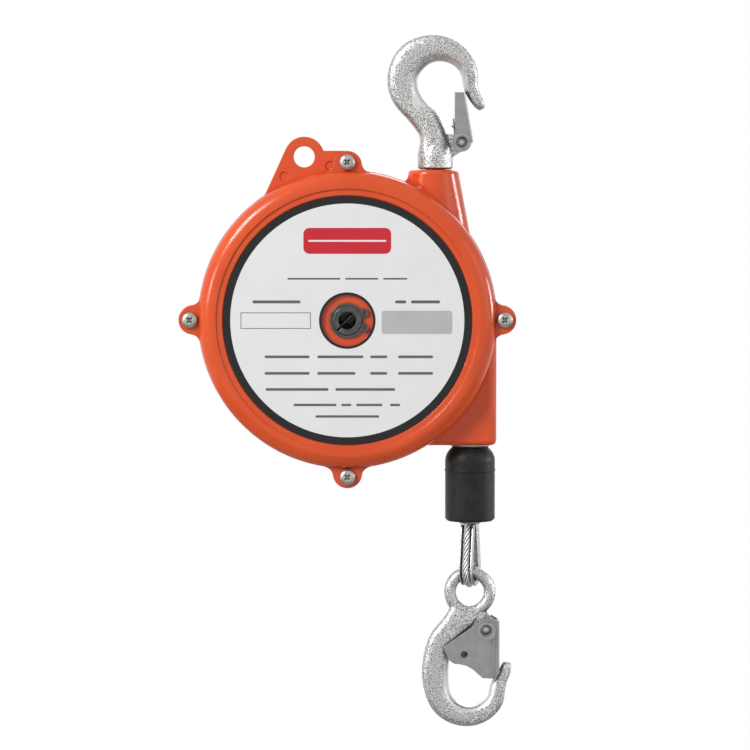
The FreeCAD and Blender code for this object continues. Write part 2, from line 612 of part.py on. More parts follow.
def housing():
    """Deep die-cast cup with flange, ears, swivel boss, rope outlet and rear hub."""
    outer_r = RIM_R - 0.4
    back_r = outer_r - DRAFT
    rear = REAR_Y
    cup = turned_y([(0, SPLIT_Y), (HOUSING_R, SPLIT_Y), (HOUSING_R, SPLIT_Y + FLANGE_DEPTH),
                    (outer_r, SPLIT_Y + FLANGE_DEPTH), (back_r, rear - REAR_EDGE),
                    (back_r - REAR_EDGE * 0.3, rear - REAR_EDGE * 0.3), (back_r - REAR_EDGE, rear),
                    (REAR_HUB_R + 1.5, rear), (REAR_HUB_R, rear + REAR_HUB_H), (0, rear + REAR_HUB_H)])
    solids = [cup, safety_ear(), outlet_block()] + swivel_boss()
    solids += at_ears(lambda a: ear(a, SPLIT_Y, SPLIT_Y + FLANGE_DEPTH))
    solids += at_ears(lambda a: around_drum(
        disc_y(BOSS_R, SPLIT_Y, SPLIT_Y + BOSS_DEPTH, DRUM_X, DRUM_Z + EAR_OFFSET), a))
    body = fuse_all(solids)
    cavity_back_r = CAVITY_R - DRAFT / 2
    cavity = turned_y([(0, SPLIT_Y - 5), (CAVITY_R, SPLIT_Y - 5), (CAVITY_R, SPLIT_Y),
                       (cavity_back_r, END_IN_Y - 4), (cavity_back_r - 4, END_IN_Y),
                       (HUB_R + 2.5, END_IN_Y), (HUB_R + 1.5, THRUST_Y), (0, THRUST_Y)])
    body = body.cut(cavity)
    rib = plate([(DRUM_X - RIB_T / 2, DRUM_Z + HUB_R + 1), (DRUM_X + RIB_T / 2, DRUM_Z + HUB_R + 1),
                 (DRUM_X + RIB_T / 2, DRUM_Z + cavity_back_r - 3),
                 (DRUM_X - RIB_T / 2, DRUM_Z + cavity_back_r - 3)],
                END_IN_Y - RIB_H + GAP, END_IN_Y + 0.5)
    body = fuse_all([body] + [around_drum(rib, 360 / RIBS * (i + 0.5)) for i in range(RIBS)])
    cuts = [
        disc_y(SAFETY_HOLE_R, SPLIT_Y - 5, SPLIT_Y + 9, DRUM_X + SAFETY_X, DRUM_Z + SAFETY_Z),
        rod_z(STEM_R + RUNNING, BOSS_TOP - SWIVEL_BEARING - 5, BOSS_TOP + 5),
        rod_z(POCKET_R, DRUM_Z + FLANGE_R * 0.6, BOSS_TOP - SWIVEL_BEARING),
        rod_z(GUIDE_R, OUTLET_BOTTOM - 1, DRUM_Z, CABLE_OFFSET),
        arbor_end(THRUST_Y - 1, rear + REAR_HUB_H + 1, RUNNING),
    ]
    cuts += at_ears(lambda a: around_drum(
        disc_y(SCREW_R, SPLIT_Y - 1, SPLIT_Y - FLANGE_DEPTH + SCREW_LENGTH + 1,
               DRUM_X, DRUM_Z + SCREW_OFFSET), a))
    for mark_x, mark_z, mark_r in ((-10.0, -9.9, 2.3), (13.2, -4.7, 2.5)):
        cuts.append(disc_y(mark_r, SPLIT_Y - 1, SPLIT_Y + MARK_DEPTH,
                           DRUM_X + SAFETY_X + mark_x, DRUM_Z + SAFETY_Z + mark_z))
    return body.cut(Part.makeCompound(cuts))


# ---------------------------------------------------------------- arbor and spring

def arbor_end(y0, y1, clearance):
    """Round bar with two flats, as the arbor's rear end and its seat in the housing."""
    bar = disc_y(ARBOR_R + clearance, y0, y1)
    flat = ARBOR_FLAT + clearance
    keep = plate([(DRUM_X - 2 * ARBOR_R, DRUM_Z - flat), (DRUM_X + 2 * ARBOR_R, DRUM_Z - flat),
                  (DRUM_X + 2 * ARBOR_R, DRUM_Z + flat), (DRUM_X - 2 * ARBOR_R, DRUM_Z + flat)], y0, y1)
    return bar.common(keep)


def slit_plate(inner, outer, thickness, y0, y1):
    """Radial plate through the arbor's wall, in the direction of the slit."""
    strip = plate([(DRUM_X - thickness / 2, DRUM_Z + inner), (DRUM_X + thickness / 2, DRUM_Z + inner),
                   (DRUM_X + thickness / 2, DRUM_Z + outer), (DRUM_X - thickness / 2, DRUM_Z + outer)],
                  y0, y1)
    return around_drum(strip, SLIT_TURN)


def spring_arbor():
    """Hollow arbor, slit for the spring's tang, with a circlip groove and two rear flats."""
    front = HUB_FACE_Y - ARBOR_FRONT
    groove = HUB_FACE_Y - PLATE_GAP / 2
    body = turned_y([
        (ARBOR_BORE_R, front), (ARBOR_R - 0.5, front), (ARBOR_R, front + 0.5),
        (ARBOR_R, groove - CIRCLIP_T - PLATE_GAP / 2),
        (ARBOR_R - CIRCLIP_GROOVE, groove - CIRCLIP_T - PLATE_GAP / 2),
        (ARBOR_R - CIRCLIP_GROOVE, groove), (ARBOR_R, groove),
        (ARBOR_R, THRUST_Y), (ARBOR_BORE_R, THRUST_Y),
    ])
    end = arbor_end(THRUST_Y, REAR_END_Y - 1, 0).cut(
        disc_y(ARBOR_BORE_R, 0, REAR_END_Y - 1 - ARBOR_BLIND))
    slit = slit_plate(0, ARBOR_R + 1, SLIT_W, front - 1, SPRING_WIDTH / 2 + 1)
    return fuse_all([body, end]).cut(slit)


def arbor_circlip():
    """Open spring ring with two eyes."""
    y0 = HUB_FACE_Y - PLATE_GAP / 2 - CIRCLIP_T - PLATE_GAP / 4
    y1 = y0 + CIRCLIP_T
    outer = ARBOR_R + CIRCLIP_W
    ring = disc_y(outer, y0, y1)
    eyes = []
    for way in (-1, 1):
        place = (DRUM_X, DRUM_Z + outer + CIRCLIP_EYE_OUT)
        spot = disc_y(CIRCLIP_EYE_R, y0, y1, *place).cut(
            disc_y(CIRCLIP_EYE_HOLE_R, y0 - 1, y1 + 1, *place))
        eyes.append(around_drum(spot, 90 + way * CIRCLIP_EYE_TURN))
    mouth = plate([(DRUM_X, DRUM_Z), (DRUM_X + 2 * outer, DRUM_Z - CIRCLIP_MOUTH),
                   (DRUM_X + 2 * outer, DRUM_Z + CIRCLIP_MOUTH)], y0 - 1, y1 + 1)
    ring = fuse_all([ring] + eyes).cut(mouth)
    return ring.cut(disc_y(ARBOR_R - CIRCLIP_GROOVE + 0.02, y0 - 1, y1 + 1))


def main_spring():
    """Flat spiral spring: a tang in the arbor's slit, then coils out to the drum's wall."""
    start_r = ARBOR_R + SPRING_T / 2 + PLATE_GAP
    end_r = DRUM_BORE_R - SPRING_WALL_GAP - SPRING_T / 2
    halves = math.floor(2 * SPRING_TURNS)
    growth = (end_r - start_r) / (2 * halves + 1)       # half the centres' distance apart
    first = 90 - SLIT_TURN
    pieces = []
    for i in range(halves + 1):
        sweep = 180 if i < halves else 180 * (2 * SPRING_TURNS - halves)
        start = math.radians(first + 180 * i)
        radius = start_r + growth * (2 * i + 1)
        back = growth * (-1) ** (i + 1)
        centre = at_drum(back * math.cos(math.radians(first)), -SPRING_WIDTH / 2,
                         back * math.sin(math.radians(first)))
        corners = [centre + Vector(math.cos(start), 0, math.sin(start)) * (radius + side * SPRING_T / 2)
                   for side in (-1, 1)]
        strip = Part.makeLine(corners[0], corners[1]).revolve(centre, BACK, -sweep)
        pieces.append(strip.extrude(Vector(0, SPRING_WIDTH, 0)))
    coils = pieces[0].multiFuse(pieces[1:])
    tang = slit_plate(-ARBOR_BORE_R * 0.7, start_r + SPRING_T / 2, SPRING_T,
                      -SPRING_WIDTH / 2, SPRING_WIDTH / 2)
    return fuse_all([coils, tang])


# ---------------------------------------------------------------- drum

def cable_drum():
    """Cast drum: barrel, two rope flanges, front web and hub, bosses for the lid's screws."""
    bore = DRUM_BORE_R
    web_y = -DRUM_HALF + WEB_T
    lid_y = DRUM_HALF - WEB_T
    base = BASE_R
    inside = FLANGE_IN
    profile = [
        (BORE_R, -DRUM_HALF), (base, -DRUM_HALF), (base, -inside - FLANGE_T),
        (FLANGE_R, -inside - FLANGE_T), (FLANGE_R, -inside), (base, -inside), (base, inside),
        (FLANGE_R, inside), (FLANGE_R, inside + FLANGE_T), (base, inside + FLANGE_T), (base, lid_y),
        (bore, lid_y), (bore, web_y + 1), (bore - 1, web_y), (HUB_R + 1, web_y), (HUB_R, web_y + 1),
        (HUB_R, -DRUM_HALF + HUB_LENGTH), (BORE_R, -DRUM_HALF + HUB_LENGTH),
    ]
    bosses = [around_drum(disc_y(LID_BOSS_R, inside, lid_y, DRUM_X, DRUM_Z + base + LID_SCREW_OUT), a)
              for a in lid_angles()]
    holes = [around_drum(disc_y(LID_SCREW_R, lid_y - LID_SCREW_GRIP - 1, lid_y + 1,
                                DRUM_X, DRUM_Z + base + LID_SCREW_OUT), a) for a in lid_angles()]
    notch = anchor_cable(ROPE_R + 0.1)
    drum = fuse_all([turned_y(profile)] + bosses)
    return drum.cut(Part.makeCompound(holes + [notch, spring_rivet_shank()]))


def lid_angles():
    """Clock directions of the lid's screws."""
    return [360 / LID_SCREWS * (i + 0.5) for i in range(LID_SCREWS)]


def anchor_line():
    """Start and direction of the rope's last bit, from the wound band towards the front."""
    return at_drum(0, -BAND_HALF + ROPE_R, CABLE_RADIUS), Vector(-ANCHOR_LEAN, -1, 0).normalize()


def anchor_cable(radius):
    """Last bit of rope, from the wound band out through the drum's front flange."""
    start, along = anchor_line()
    return Part.makeCylinder(radius, ANCHOR_LENGTH, start, along)


def cable_end_stop():
    """Sleeve pressed on the rope's inner end, outside the drum's front flange."""
    start, along = anchor_line()
    outer = ROPE_R + SLEEVE_WALL
    lead = (FLANGE_T + ROPE_R + GAP + outer * ANCHOR_LEAN * abs(along.y)) / abs(along.y)
    sleeve = Part.makeCylinder(outer, SLEEVE_LENGTH, start + along * lead, along)
    return sleeve.cut(anchor_cable(ROPE_R))


def drum_lid():
    """Rear plate of the drum, with the second hub."""
    lid_y = DRUM_HALF - WEB_T
    plate_r = BASE_R + LID_SCREW_OUT + LID_BOSS_R
    lid = turned_y([(BORE_R, DRUM_HALF), (plate_r - 0.6, DRUM_HALF), (plate_r, DRUM_HALF - 0.6),
                    (plate_r, lid_y), (HUB_R + 1, lid_y), (HUB_R, lid_y - 1),
                    (HUB_R, DRUM_HALF - HUB_LENGTH), (BORE_R, DRUM_HALF - HUB_LENGTH)])
    holes = [around_drum(disc_y(LID_SCREW_R, 0, DRUM_HALF + 1, DRUM_X, DRUM_Z + BASE_R + LID_SCREW_OUT), a)
             for a in lid_angles()]
    return lid.cut(Part.makeCompound(holes))


def lid_screws():
    """Low screws that hold the lid."""
    screw = pan_screw(LID_HEAD_R, LID_HEAD_H, LID_SCREW_R, WEB_T + LID_SCREW_GRIP)
    screw.rotate(Vector(0, 0, 0), UP, 180)
    screw.translate(at_drum(0, DRUM_HALF, BASE_R + LID_SCREW_OUT))
    return Part.makeCompound([around_drum(screw, a) for a in lid_angles()])


def drum_bush(way):
    """Flanged plain bearing; way is -1 for the front and 1 for the rear."""
    end = way * DRUM_HALF
    inner = way * (DRUM_HALF - HUB_LENGTH)
    rim = way * (DRUM_HALF + BUSH_FLANGE_T)
    return turned_y([(ARBOR_R + RUNNING, inner), (BORE_R, inner), (BORE_R, end),
                     (HUB_R, end), (HUB_R, rim), (ARBOR_R + RUNNING, rim)])


def spring_rivet_shank():
    """Shank of the spring's rivet, from the barrel's inside to just under the rope."""
    bore = DRUM_BORE_R
    shank = Part.makeCylinder(SPRING_RIVET_R, DRUM_WALL + RIVET_HEAD_T - PLATE_GAP,
                              at_drum(0, 0, bore - RIVET_HEAD_T), UP)
    return around_drum(shank, SPRING_RIVET_TURN)


def spring_rivet():
    """Rivet in the drum's wall that holds the spring's outer end."""
    bore = DRUM_BORE_R
    head = Part.makeCylinder(SPRING_RIVET_HEAD_R, 2 * RIVET_HEAD_T, at_drum(0, 0, bore - RIVET_HEAD_T), UP)
    head = around_drum(head, SPRING_RIVET_TURN).common(
        disc_y(bore, -SPRING_RIVET_HEAD_R - 1, SPRING_RIVET_HEAD_R + 1))
    return fuse_all([spring_rivet_shank(), head])


def wound_cable():
    """Rope wound on the drum, as one band with a bead for each turn of the outer layer."""
    base = BASE_R
    half = BAND_HALF
    edges = []
    corner = at_drum(base, -half, 0)
    for i in range(ROPE_TURNS):
        centre = -half + ROPE_PITCH * (i + 0.5)
        bead = [at_drum(CABLE_RADIUS + up * ROPE_R, centre + along * ROPE_R, 0)
                for along, up in ((-1, 0), (-0.5, 0.87), (0.5, 0.87), (1, 0))]
        edges += [Part.makeLine(a, b) for a, b in zip([corner] + bead, bead)]
        corner = bead[-1]
    last = at_drum(base, half, 0)
    edges += [Part.makeLine(corner, last), Part.makeLine(last, at_drum(base, -half, 0))]
    band = Part.Face(Part.Wire(edges)).revolve(at_drum(0, 0, 0), BACK, 360)
    return fuse_all([band, anchor_cable(ROPE_R)])


# ---------------------------------------------------------------- rope, buffer and loop

def cable_guide():
    """Steel guide in the outlet, flared at both ends."""
    flange = OUTLET_BOTTOM - GUIDE_FLANGE_T
    top = OUTLET_BOTTOM + GUIDE_LENGTH
    return turned_z([
        (GUIDE_BORE_R + 1, flange), (GUIDE_FLANGE_R - 0.8, flange), (GUIDE_FLANGE_R, flange + 0.8),
        (GUIDE_FLANGE_R, OUTLET_BOTTOM), (GUIDE_R, OUTLET_BOTTOM), (GUIDE_R, top - 1),
        (GUIDE_R - 0.6, top), (GUIDE_BORE_R + GUIDE_FLARE, top), (GUIDE_BORE_R + 1.2, top - 2.5),
        (GUIDE_BORE_R, top - 6), (GUIDE_BORE_R, flange + 2.5),
    ], CABLE_OFFSET)


def run_top():
    """Height where the straight rope clears the rope wound on the drum."""
    swept = CABLE_RADIUS + ROPE_R
    clear = CABLE_RADIUS - ROPE_R
    return DRUM_Z - math.sqrt(swept ** 2 - clear ** 2) - 2 * GAP


def cable_run():
    """Straight rope from the drum, through the guide, down to the ferrule."""
    return rod_z(ROPE_R, FERRULE_BOTTOM + FERRULE_LENGTH, run_top(), CABLE_OFFSET)


def rubber_buffer():
    """Domed rubber buffer that meets the guide when the rope is home."""
    top = OUTLET_BOTTOM - GUIDE_FLANGE_T - GAP
    bottom = top - BUFFER_LENGTH
    seam = top - SEAM_DROP
    shoulder = top - BUFFER_DOME
    edges = []

    def at(r, z):
        return Vector(CABLE_OFFSET + r, 0, z)

    corners = [at(BUFFER_R, shoulder), at(BUFFER_R, seam + 0.6), at(BUFFER_R + SEAM_H, seam + 0.3),
               at(BUFFER_R + SEAM_H, seam - 0.3), at(BUFFER_R, seam - 0.6),
               at(BUFFER_R, bottom + BUFFER_CHAMFER), at(BUFFER_R - BUFFER_CHAMFER, bottom),
               at(FERRULE_R, bottom), at(FERRULE_R, bottom + FERRULE_LENGTH),
               at(BUFFER_BORE_R, bottom + FERRULE_LENGTH), at(BUFFER_BORE_R, top), at(BUFFER_TOP_R, top)]
    edges += [Part.makeLine(a, b) for a, b in zip(corners, corners[1:])]
    lean = math.radians(40)
    middle = at(BUFFER_TOP_R + (BUFFER_R - BUFFER_TOP_R) * math.sin(math.radians(55)),
                shoulder + BUFFER_DOME * math.cos(math.radians(55)) * math.cos(lean) ** 0.3)
    edges.append(Part.Arc(corners[-1], middle, corners[0]).toShape())
    return Part.Face(Part.Wire(edges)).revolve(Vector(CABLE_OFFSET, 0, 0), UP, 360)


def cable_ferrule():
    """Ferrule pressed on the rope's loop, with the flange that carries the buffer."""
    bottom = FERRULE_BOTTOM
    return turned_z([(0, bottom - FERRULE_FLANGE_T), (FERRULE_FLANGE_R - 0.4, bottom - FERRULE_FLANGE_T),
                     (FERRULE_FLANGE_R, bottom - FERRULE_FLANGE_T + 0.4), (FERRULE_FLANGE_R, bottom),
                     (FERRULE_R, bottom), (FERRULE_R, bottom + FERRULE_LENGTH),
                     (0, bottom + FERRULE_LENGTH)], CABLE_OFFSET)


def loop_points(offset):
    """Right leg's top, its tangent point, the bottom, and the same on the left, moved out."""
    height = LOOP_TOP - LOOP_CENTRE
    reach = math.hypot(LOOP_NECK, height)
    lift = math.atan2(height, LOOP_NECK) - math.acos(LOOP_R / reach)
    out = Vector(0, math.cos(lift), math.sin(lift))
    centre = Vector(CABLE_OFFSET, 0, LOOP_CENTRE)
    top = Vector(CABLE_OFFSET, LOOP_NECK, LOOP_TOP) + out * offset
    touch = centre + out * (LOOP_R + offset)
    bottom = centre - UP * (LOOP_R + offset)
    mirror = Matrix(1, 0, 0, 0, 0, -1, 0, 0, 0, 0, 1, 0)
    return [top, touch, bottom, mirror.multiply(touch), mirror.multiply(top)]


def loop_wire(offset, closed):
    """Rope line of the loop, or a teardrop outline round it."""
    top, touch, bottom, left, left_top = loop_points(offset)
    edges = [Part.makeLine(top, touch), Part.Arc(touch, bottom, left).toShape(),
             Part.makeLine(left, left_top)]
    if closed:
        edges.append(Part.makeLine(left_top, top))
    return Part.Wire(edges)


def turn_loop(shape):
    """Turn a piece of the loop about the rope line."""
    copy = shape.copy()
    copy.rotate(Vector(CABLE_OFFSET, 0, 0), UP, LOOP_TURN)
    return copy


def loop_rope(radius):
    """Rope bent into the loop."""
    path = loop_wire(0, False)
    top, touch = loop_points(0)[:2]
    section = Part.Wire(Part.makeCircle(radius, top, touch - top))
    return path.makePipeShell([section], True, True)


def below(top):
    """Block that holds all of the loop under a height."""
    side = 2 * LOOP_LENGTH
    return Part.makeBox(side, side, side, Vector(CABLE_OFFSET - side / 2, -side / 2, top - side))


def cable_loop():
    """Rope round the thimble, trimmed where it enters the ferrule."""
    return turn_loop(loop_rope(ROPE_R).common(below(LOOP_TOP)))


def thimble():
    """Grooved sheet thimble inside the loop."""
    half = THIMBLE_W / 2
    bodies = []
    for offset in (THIMBLE_LIP, -ROPE_R - THIMBLE_T):
        face = Part.Face(loop_wire(offset, True))
        body = face.extrude(Vector(THIMBLE_W, 0, 0))
        body.translate(Vector(-half, 0, 0))
        bodies.append(body)
    channel = bodies[0].cut(bodies[1]).cut(loop_rope(ROPE_R + THIMBLE_FIT))
    channel = channel.common(below(LOOP_TOP - THIMBLE_TOP))
    return turn_loop(max(channel.Solids, key=lambda s: s.Volume))


# ---------------------------------------------------------------- load hook

def from_eye(x, z):
    """Point given from the centre of the load hook's eye."""
    return CABLE_OFFSET + x, EYE_Z + z


def load_hook():
    """Forged hook with an eye, a broad neck, a heavy back and a thin lug for the latch."""
    shank_x = -BOWL_R - BACK_HALF
    stations = [
        (-0.6, -4.0, 9.8, EYE_BAR_R + 0.1), (-1.6, -9.0, 9.0, EYE_BAR_R + 0.3),
        (-4.2, -13.6, 7.9, HOOK_DEPTH * 0.84), (-8.8, -19.0, 7.0, HOOK_DEPTH * 0.94),
        (-13.9, -25.0, 6.8, HOOK_DEPTH), (shank_x + 0.4, SHANK_Z, BACK_HALF + 0.1, HOOK_DEPTH),
    ]
    for degrees in range(180, 361, 30):
        angle = math.radians(degrees)
        half = BACK_HALF + (FRONT_HALF - BACK_HALF) * (degrees - 180) / 180
        radius = BOWL_R + half
        stations.append((radius * math.cos(angle), -BOWL_DROP + radius * math.sin(angle), half,
                         HOOK_DEPTH * (1.0 if degrees < 300 else 0.85)))
    stations += [
        (TIP_X - 1.7, TIP_Z - 4.6, 3.1, HOOK_DEPTH * 0.7),
        (TIP_X, TIP_Z, TIP_R, HOOK_DEPTH * 0.55),
        (TIP_X + 0.4, TIP_Z + 1.9, TIP_R * 0.5, HOOK_DEPTH * 0.28),
    ]
    ring_r = EYE_R - EYE_LAND + EYE_BAR_R
    place = from_eye(0, 0)
    deep = 2 * HOOK_DEPTH
    bar = forged_bar([from_eye(x, z) + (w, d) for x, z, w, d in stations], -1)
    bar = bar.cut(disc_y(ring_r, -deep, deep, *place))
    eye = Part.makeTorus(ring_r, EYE_BAR_R, Vector(place[0], 0, place[1]), BACK)
    lug = fuse_all([
        disc_y(LUG_R, -LUG_HALF, LUG_HALF, *from_eye(PIVOT_X, PIVOT_Z)),
        plate([from_eye(*p) for p in (
            (PIVOT_X + LUG_R * 0.7, PIVOT_Z + LUG_R * 0.7), (8.6, -ring_r), (0, -ring_r),
            (-6, -20), (-9, -28.5), (PIVOT_X - 0.5, PIVOT_Z - LUG_R))], -LUG_HALF, LUG_HALF),
    ])
    hook = fuse_all([bar, eye, lug])
    return hook.cut(disc_y(RIVET_R, -deep, deep, *from_eye(PIVOT_X, PIVOT_Z))).cut(
        disc_y(EYE_R, -deep, deep, *place))


def load_latch():
    """Pressed latch: cheeks that straddle the hook and a web behind the tip."""
    half = LATCH_ROOM + SHEET
    outline = [(PIVOT_X - 1.5, -13.6), (-13.5, -27.7), (-12.3, -31.0), (-10.3, -34.7), (-8.1, -36.1),
               (-5.3, -36.4), (-1.8, -37.2), (1.8, -39.3), (4.0, -41.4), (6.5, -43.5),
               (13.2, -43.9), (LATCH_WEB, TIP_Z - 2.6), (LATCH_WEB, -14.8), (11.3, -12.6),
               (PIVOT_X + 0.8, -13.2)]
    body = plate([from_eye(*p) for p in outline], -half, half)
    web_x = from_eye(LATCH_WEB, 0)[0]
    bends = edges_where(body, lambda e: abs(e.CenterOfMass.x - web_x) < RUNNING
                        and abs(e.CenterOfMass.y) > half - RUNNING)
    body = body.makeFillet(SHEET * 1.2, bends)
    web_end = TIP_Z - LATCH_WEB_END
    room = plate([from_eye(*p) for p in (
        (-20, -5), (LATCH_WEB - SHEET, -5), (LATCH_WEB - SHEET, web_end), (25, web_end),
        (25, -50), (-20, -50))], -LATCH_ROOM, LATCH_ROOM)
    pivot_hole = disc_y(RIVET_R + RUNNING, -half - 1, half + 1, *from_eye(PIVOT_X, PIVOT_Z))
    grip_hole = disc_y(LATCH_HOLE_R, -half - 1, half + 1, *from_eye(LATCH_HOLE_X, LATCH_HOLE_Z))
    return body.cut(room).cut(pivot_hole).cut(grip_hole)


# ---------------------------------------------------------------- all pieces

def cover_screws():
    """Four pan head screws in the ears."""
    screw = pan_screw(SCREW_HEAD_R, SCREW_HEAD_H, SCREW_R, SCREW_LENGTH)
    screw.translate(at_drum(0, SPLIT_Y - FLANGE_DEPTH, SCREW_OFFSET))
    return Part.makeCompound(at_ears(lambda a: around_drum(screw, a)))


def name_plate():
    """Round plate in the cover's recess."""
    return disc_y(LABEL_R, LABEL_Y - LABEL_T, LABEL_Y).cut(
        disc_y(LABEL_HOLE_R - 1.2, LABEL_Y - 5, LABEL_Y + 5))


def build():
    """Every piece by its node name."""
    washer, nut, nut_pin = swivel_parts()
    pivot = from_eye(PIVOT_X, PIVOT_Z)
    return {
        "suspension_hook": suspension_hook(),
        "suspension_latch": suspension_latch(),
        "suspension_latch_rivet": rivet(TOP_PIVOT_X, TOP_PIVOT_Z, TOP_LATCH_GAP + SHEET + RIVET_FIT),
        "suspension_latch_spring": torsion_spring(
            TOP_PIVOT_X, TOP_PIVOT_Z, TOP_LATCH_GAP - WIRE_R - PLATE_GAP, (140, 95), (9, 12)),
        "swivel_washer": washer,
        "swivel_nut": nut,
        "swivel_nut_pin": nut_pin,
        "housing": housing(),
        "front_cover": front_cover(),
        "name_plate": name_plate(),
        "cover_screws": cover_screws(),
        "spring_arbor": spring_arbor(),
        "arbor_circlip": arbor_circlip(),
        "main_spring": main_spring(),
        "cable_guide": cable_guide(),
        "cable_drum": cable_drum(),
        "drum_lid": drum_lid(),
        "lid_screws": lid_screws(),
        "front_drum_bush": drum_bush(-1),
        "rear_drum_bush": drum_bush(1),
        "spring_rivet": spring_rivet(),
        "wound_cable": wound_cable(),
        "cable_end_stop": cable_end_stop(),
        "cable_run": cable_run(),
        "rubber_buffer": rubber_buffer(),
        "cable_ferrule": cable_ferrule(),
        "cable_loop": cable_loop(),
        "thimble": thimble(),
        "load_hook": load_hook(),
        "load_latch": load_latch(),
        "load_latch_rivet": rivet(pivot[0], pivot[1], LATCH_ROOM + SHEET + RIVET_FIT),
        "load_latch_spring": torsion_spring(
            pivot[0], pivot[1], LATCH_ROOM - WIRE_R - PLATE_GAP, (200, 278), (8, 4.0)),
    }


os.makedirs("parts", exist_ok=True)
for name, shape in build().items():
    print(name, len(shape.Solids), round(shape.Volume, 2), shape.isValid())
    shape.exportStep("parts/" + name + ".step")
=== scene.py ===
"""Looks of a spring tool balancer: finishes, print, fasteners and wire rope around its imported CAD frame."""

import json
import logging
import math
from collections.abc import Callable, Iterable
from dataclasses import dataclass, field
from enum import Enum

import bmesh
import bpy
from mathutils import Matrix, Vector


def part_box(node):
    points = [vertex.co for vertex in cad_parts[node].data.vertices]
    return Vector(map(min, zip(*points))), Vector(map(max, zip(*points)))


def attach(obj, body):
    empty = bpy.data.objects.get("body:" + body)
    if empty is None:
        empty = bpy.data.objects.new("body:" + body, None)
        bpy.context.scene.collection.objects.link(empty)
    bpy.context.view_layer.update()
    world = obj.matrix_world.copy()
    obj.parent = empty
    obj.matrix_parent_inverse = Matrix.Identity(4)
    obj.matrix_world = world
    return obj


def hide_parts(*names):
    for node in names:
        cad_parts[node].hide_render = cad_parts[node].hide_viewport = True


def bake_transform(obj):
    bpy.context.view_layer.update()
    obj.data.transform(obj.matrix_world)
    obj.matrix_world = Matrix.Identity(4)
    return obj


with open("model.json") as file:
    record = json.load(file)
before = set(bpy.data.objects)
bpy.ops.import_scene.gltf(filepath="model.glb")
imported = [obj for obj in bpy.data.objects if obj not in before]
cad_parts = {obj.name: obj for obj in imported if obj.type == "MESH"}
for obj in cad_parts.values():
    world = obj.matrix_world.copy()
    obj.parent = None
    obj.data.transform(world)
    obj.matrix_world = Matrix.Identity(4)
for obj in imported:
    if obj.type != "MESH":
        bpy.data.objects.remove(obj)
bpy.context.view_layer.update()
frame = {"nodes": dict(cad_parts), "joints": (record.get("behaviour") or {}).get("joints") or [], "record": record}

MM = 0.001
MERGE_GAP = 0.001 * MM          # vertices nearer than this become one
FACING = 0.9                    # how squarely a face looks along an axis when it is picked by its normal
FULL_TURN = 2 * math.pi
ALONG_Y = (math.pi / 2, 0, 0)   # turns a new primitive's axis from Z to Y
RAY_SAMPLES = 6                 # for soft edges and painted corner shade
LOG = logging.getLogger("balancer")

Socket = bpy.types.NodeSocket
Material = bpy.types.Material
Piece = bpy.types.Object
Colour = tuple[float, float, float]
Place = tuple[float, float, float]
Range = tuple[float, float]
Relief = tuple[float, float]    # depth in millimetres, and how much of it shows


# ------------------------------------------------------------------ frame

def joint_place(name: str) -> Vector:
    """Gives a point on a joint's axis.

    Args:
        name: The joint's name in the record.

    Returns:
        The point, in metres.
    """
    return Vector(next(j["pos_m"] for j in frame["joints"] if j["name"] == name))


def node_span(name: str) -> tuple[Vector, Vector, Vector]:
    """Gives a CAD node's box.

    Args:
        name: The node's name.

    Returns:
        Its lowest corner, its highest corner and its centre.
    """
    low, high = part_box(name)
    return low, high, (low + high) / 2


# ------------------------------------------------------------------ modelling bench

class Part(Enum):
    """What an edit-mode choice picks."""

    VERTS = "VERT"
    EDGES = "EDGE"
    FACES = "FACE"


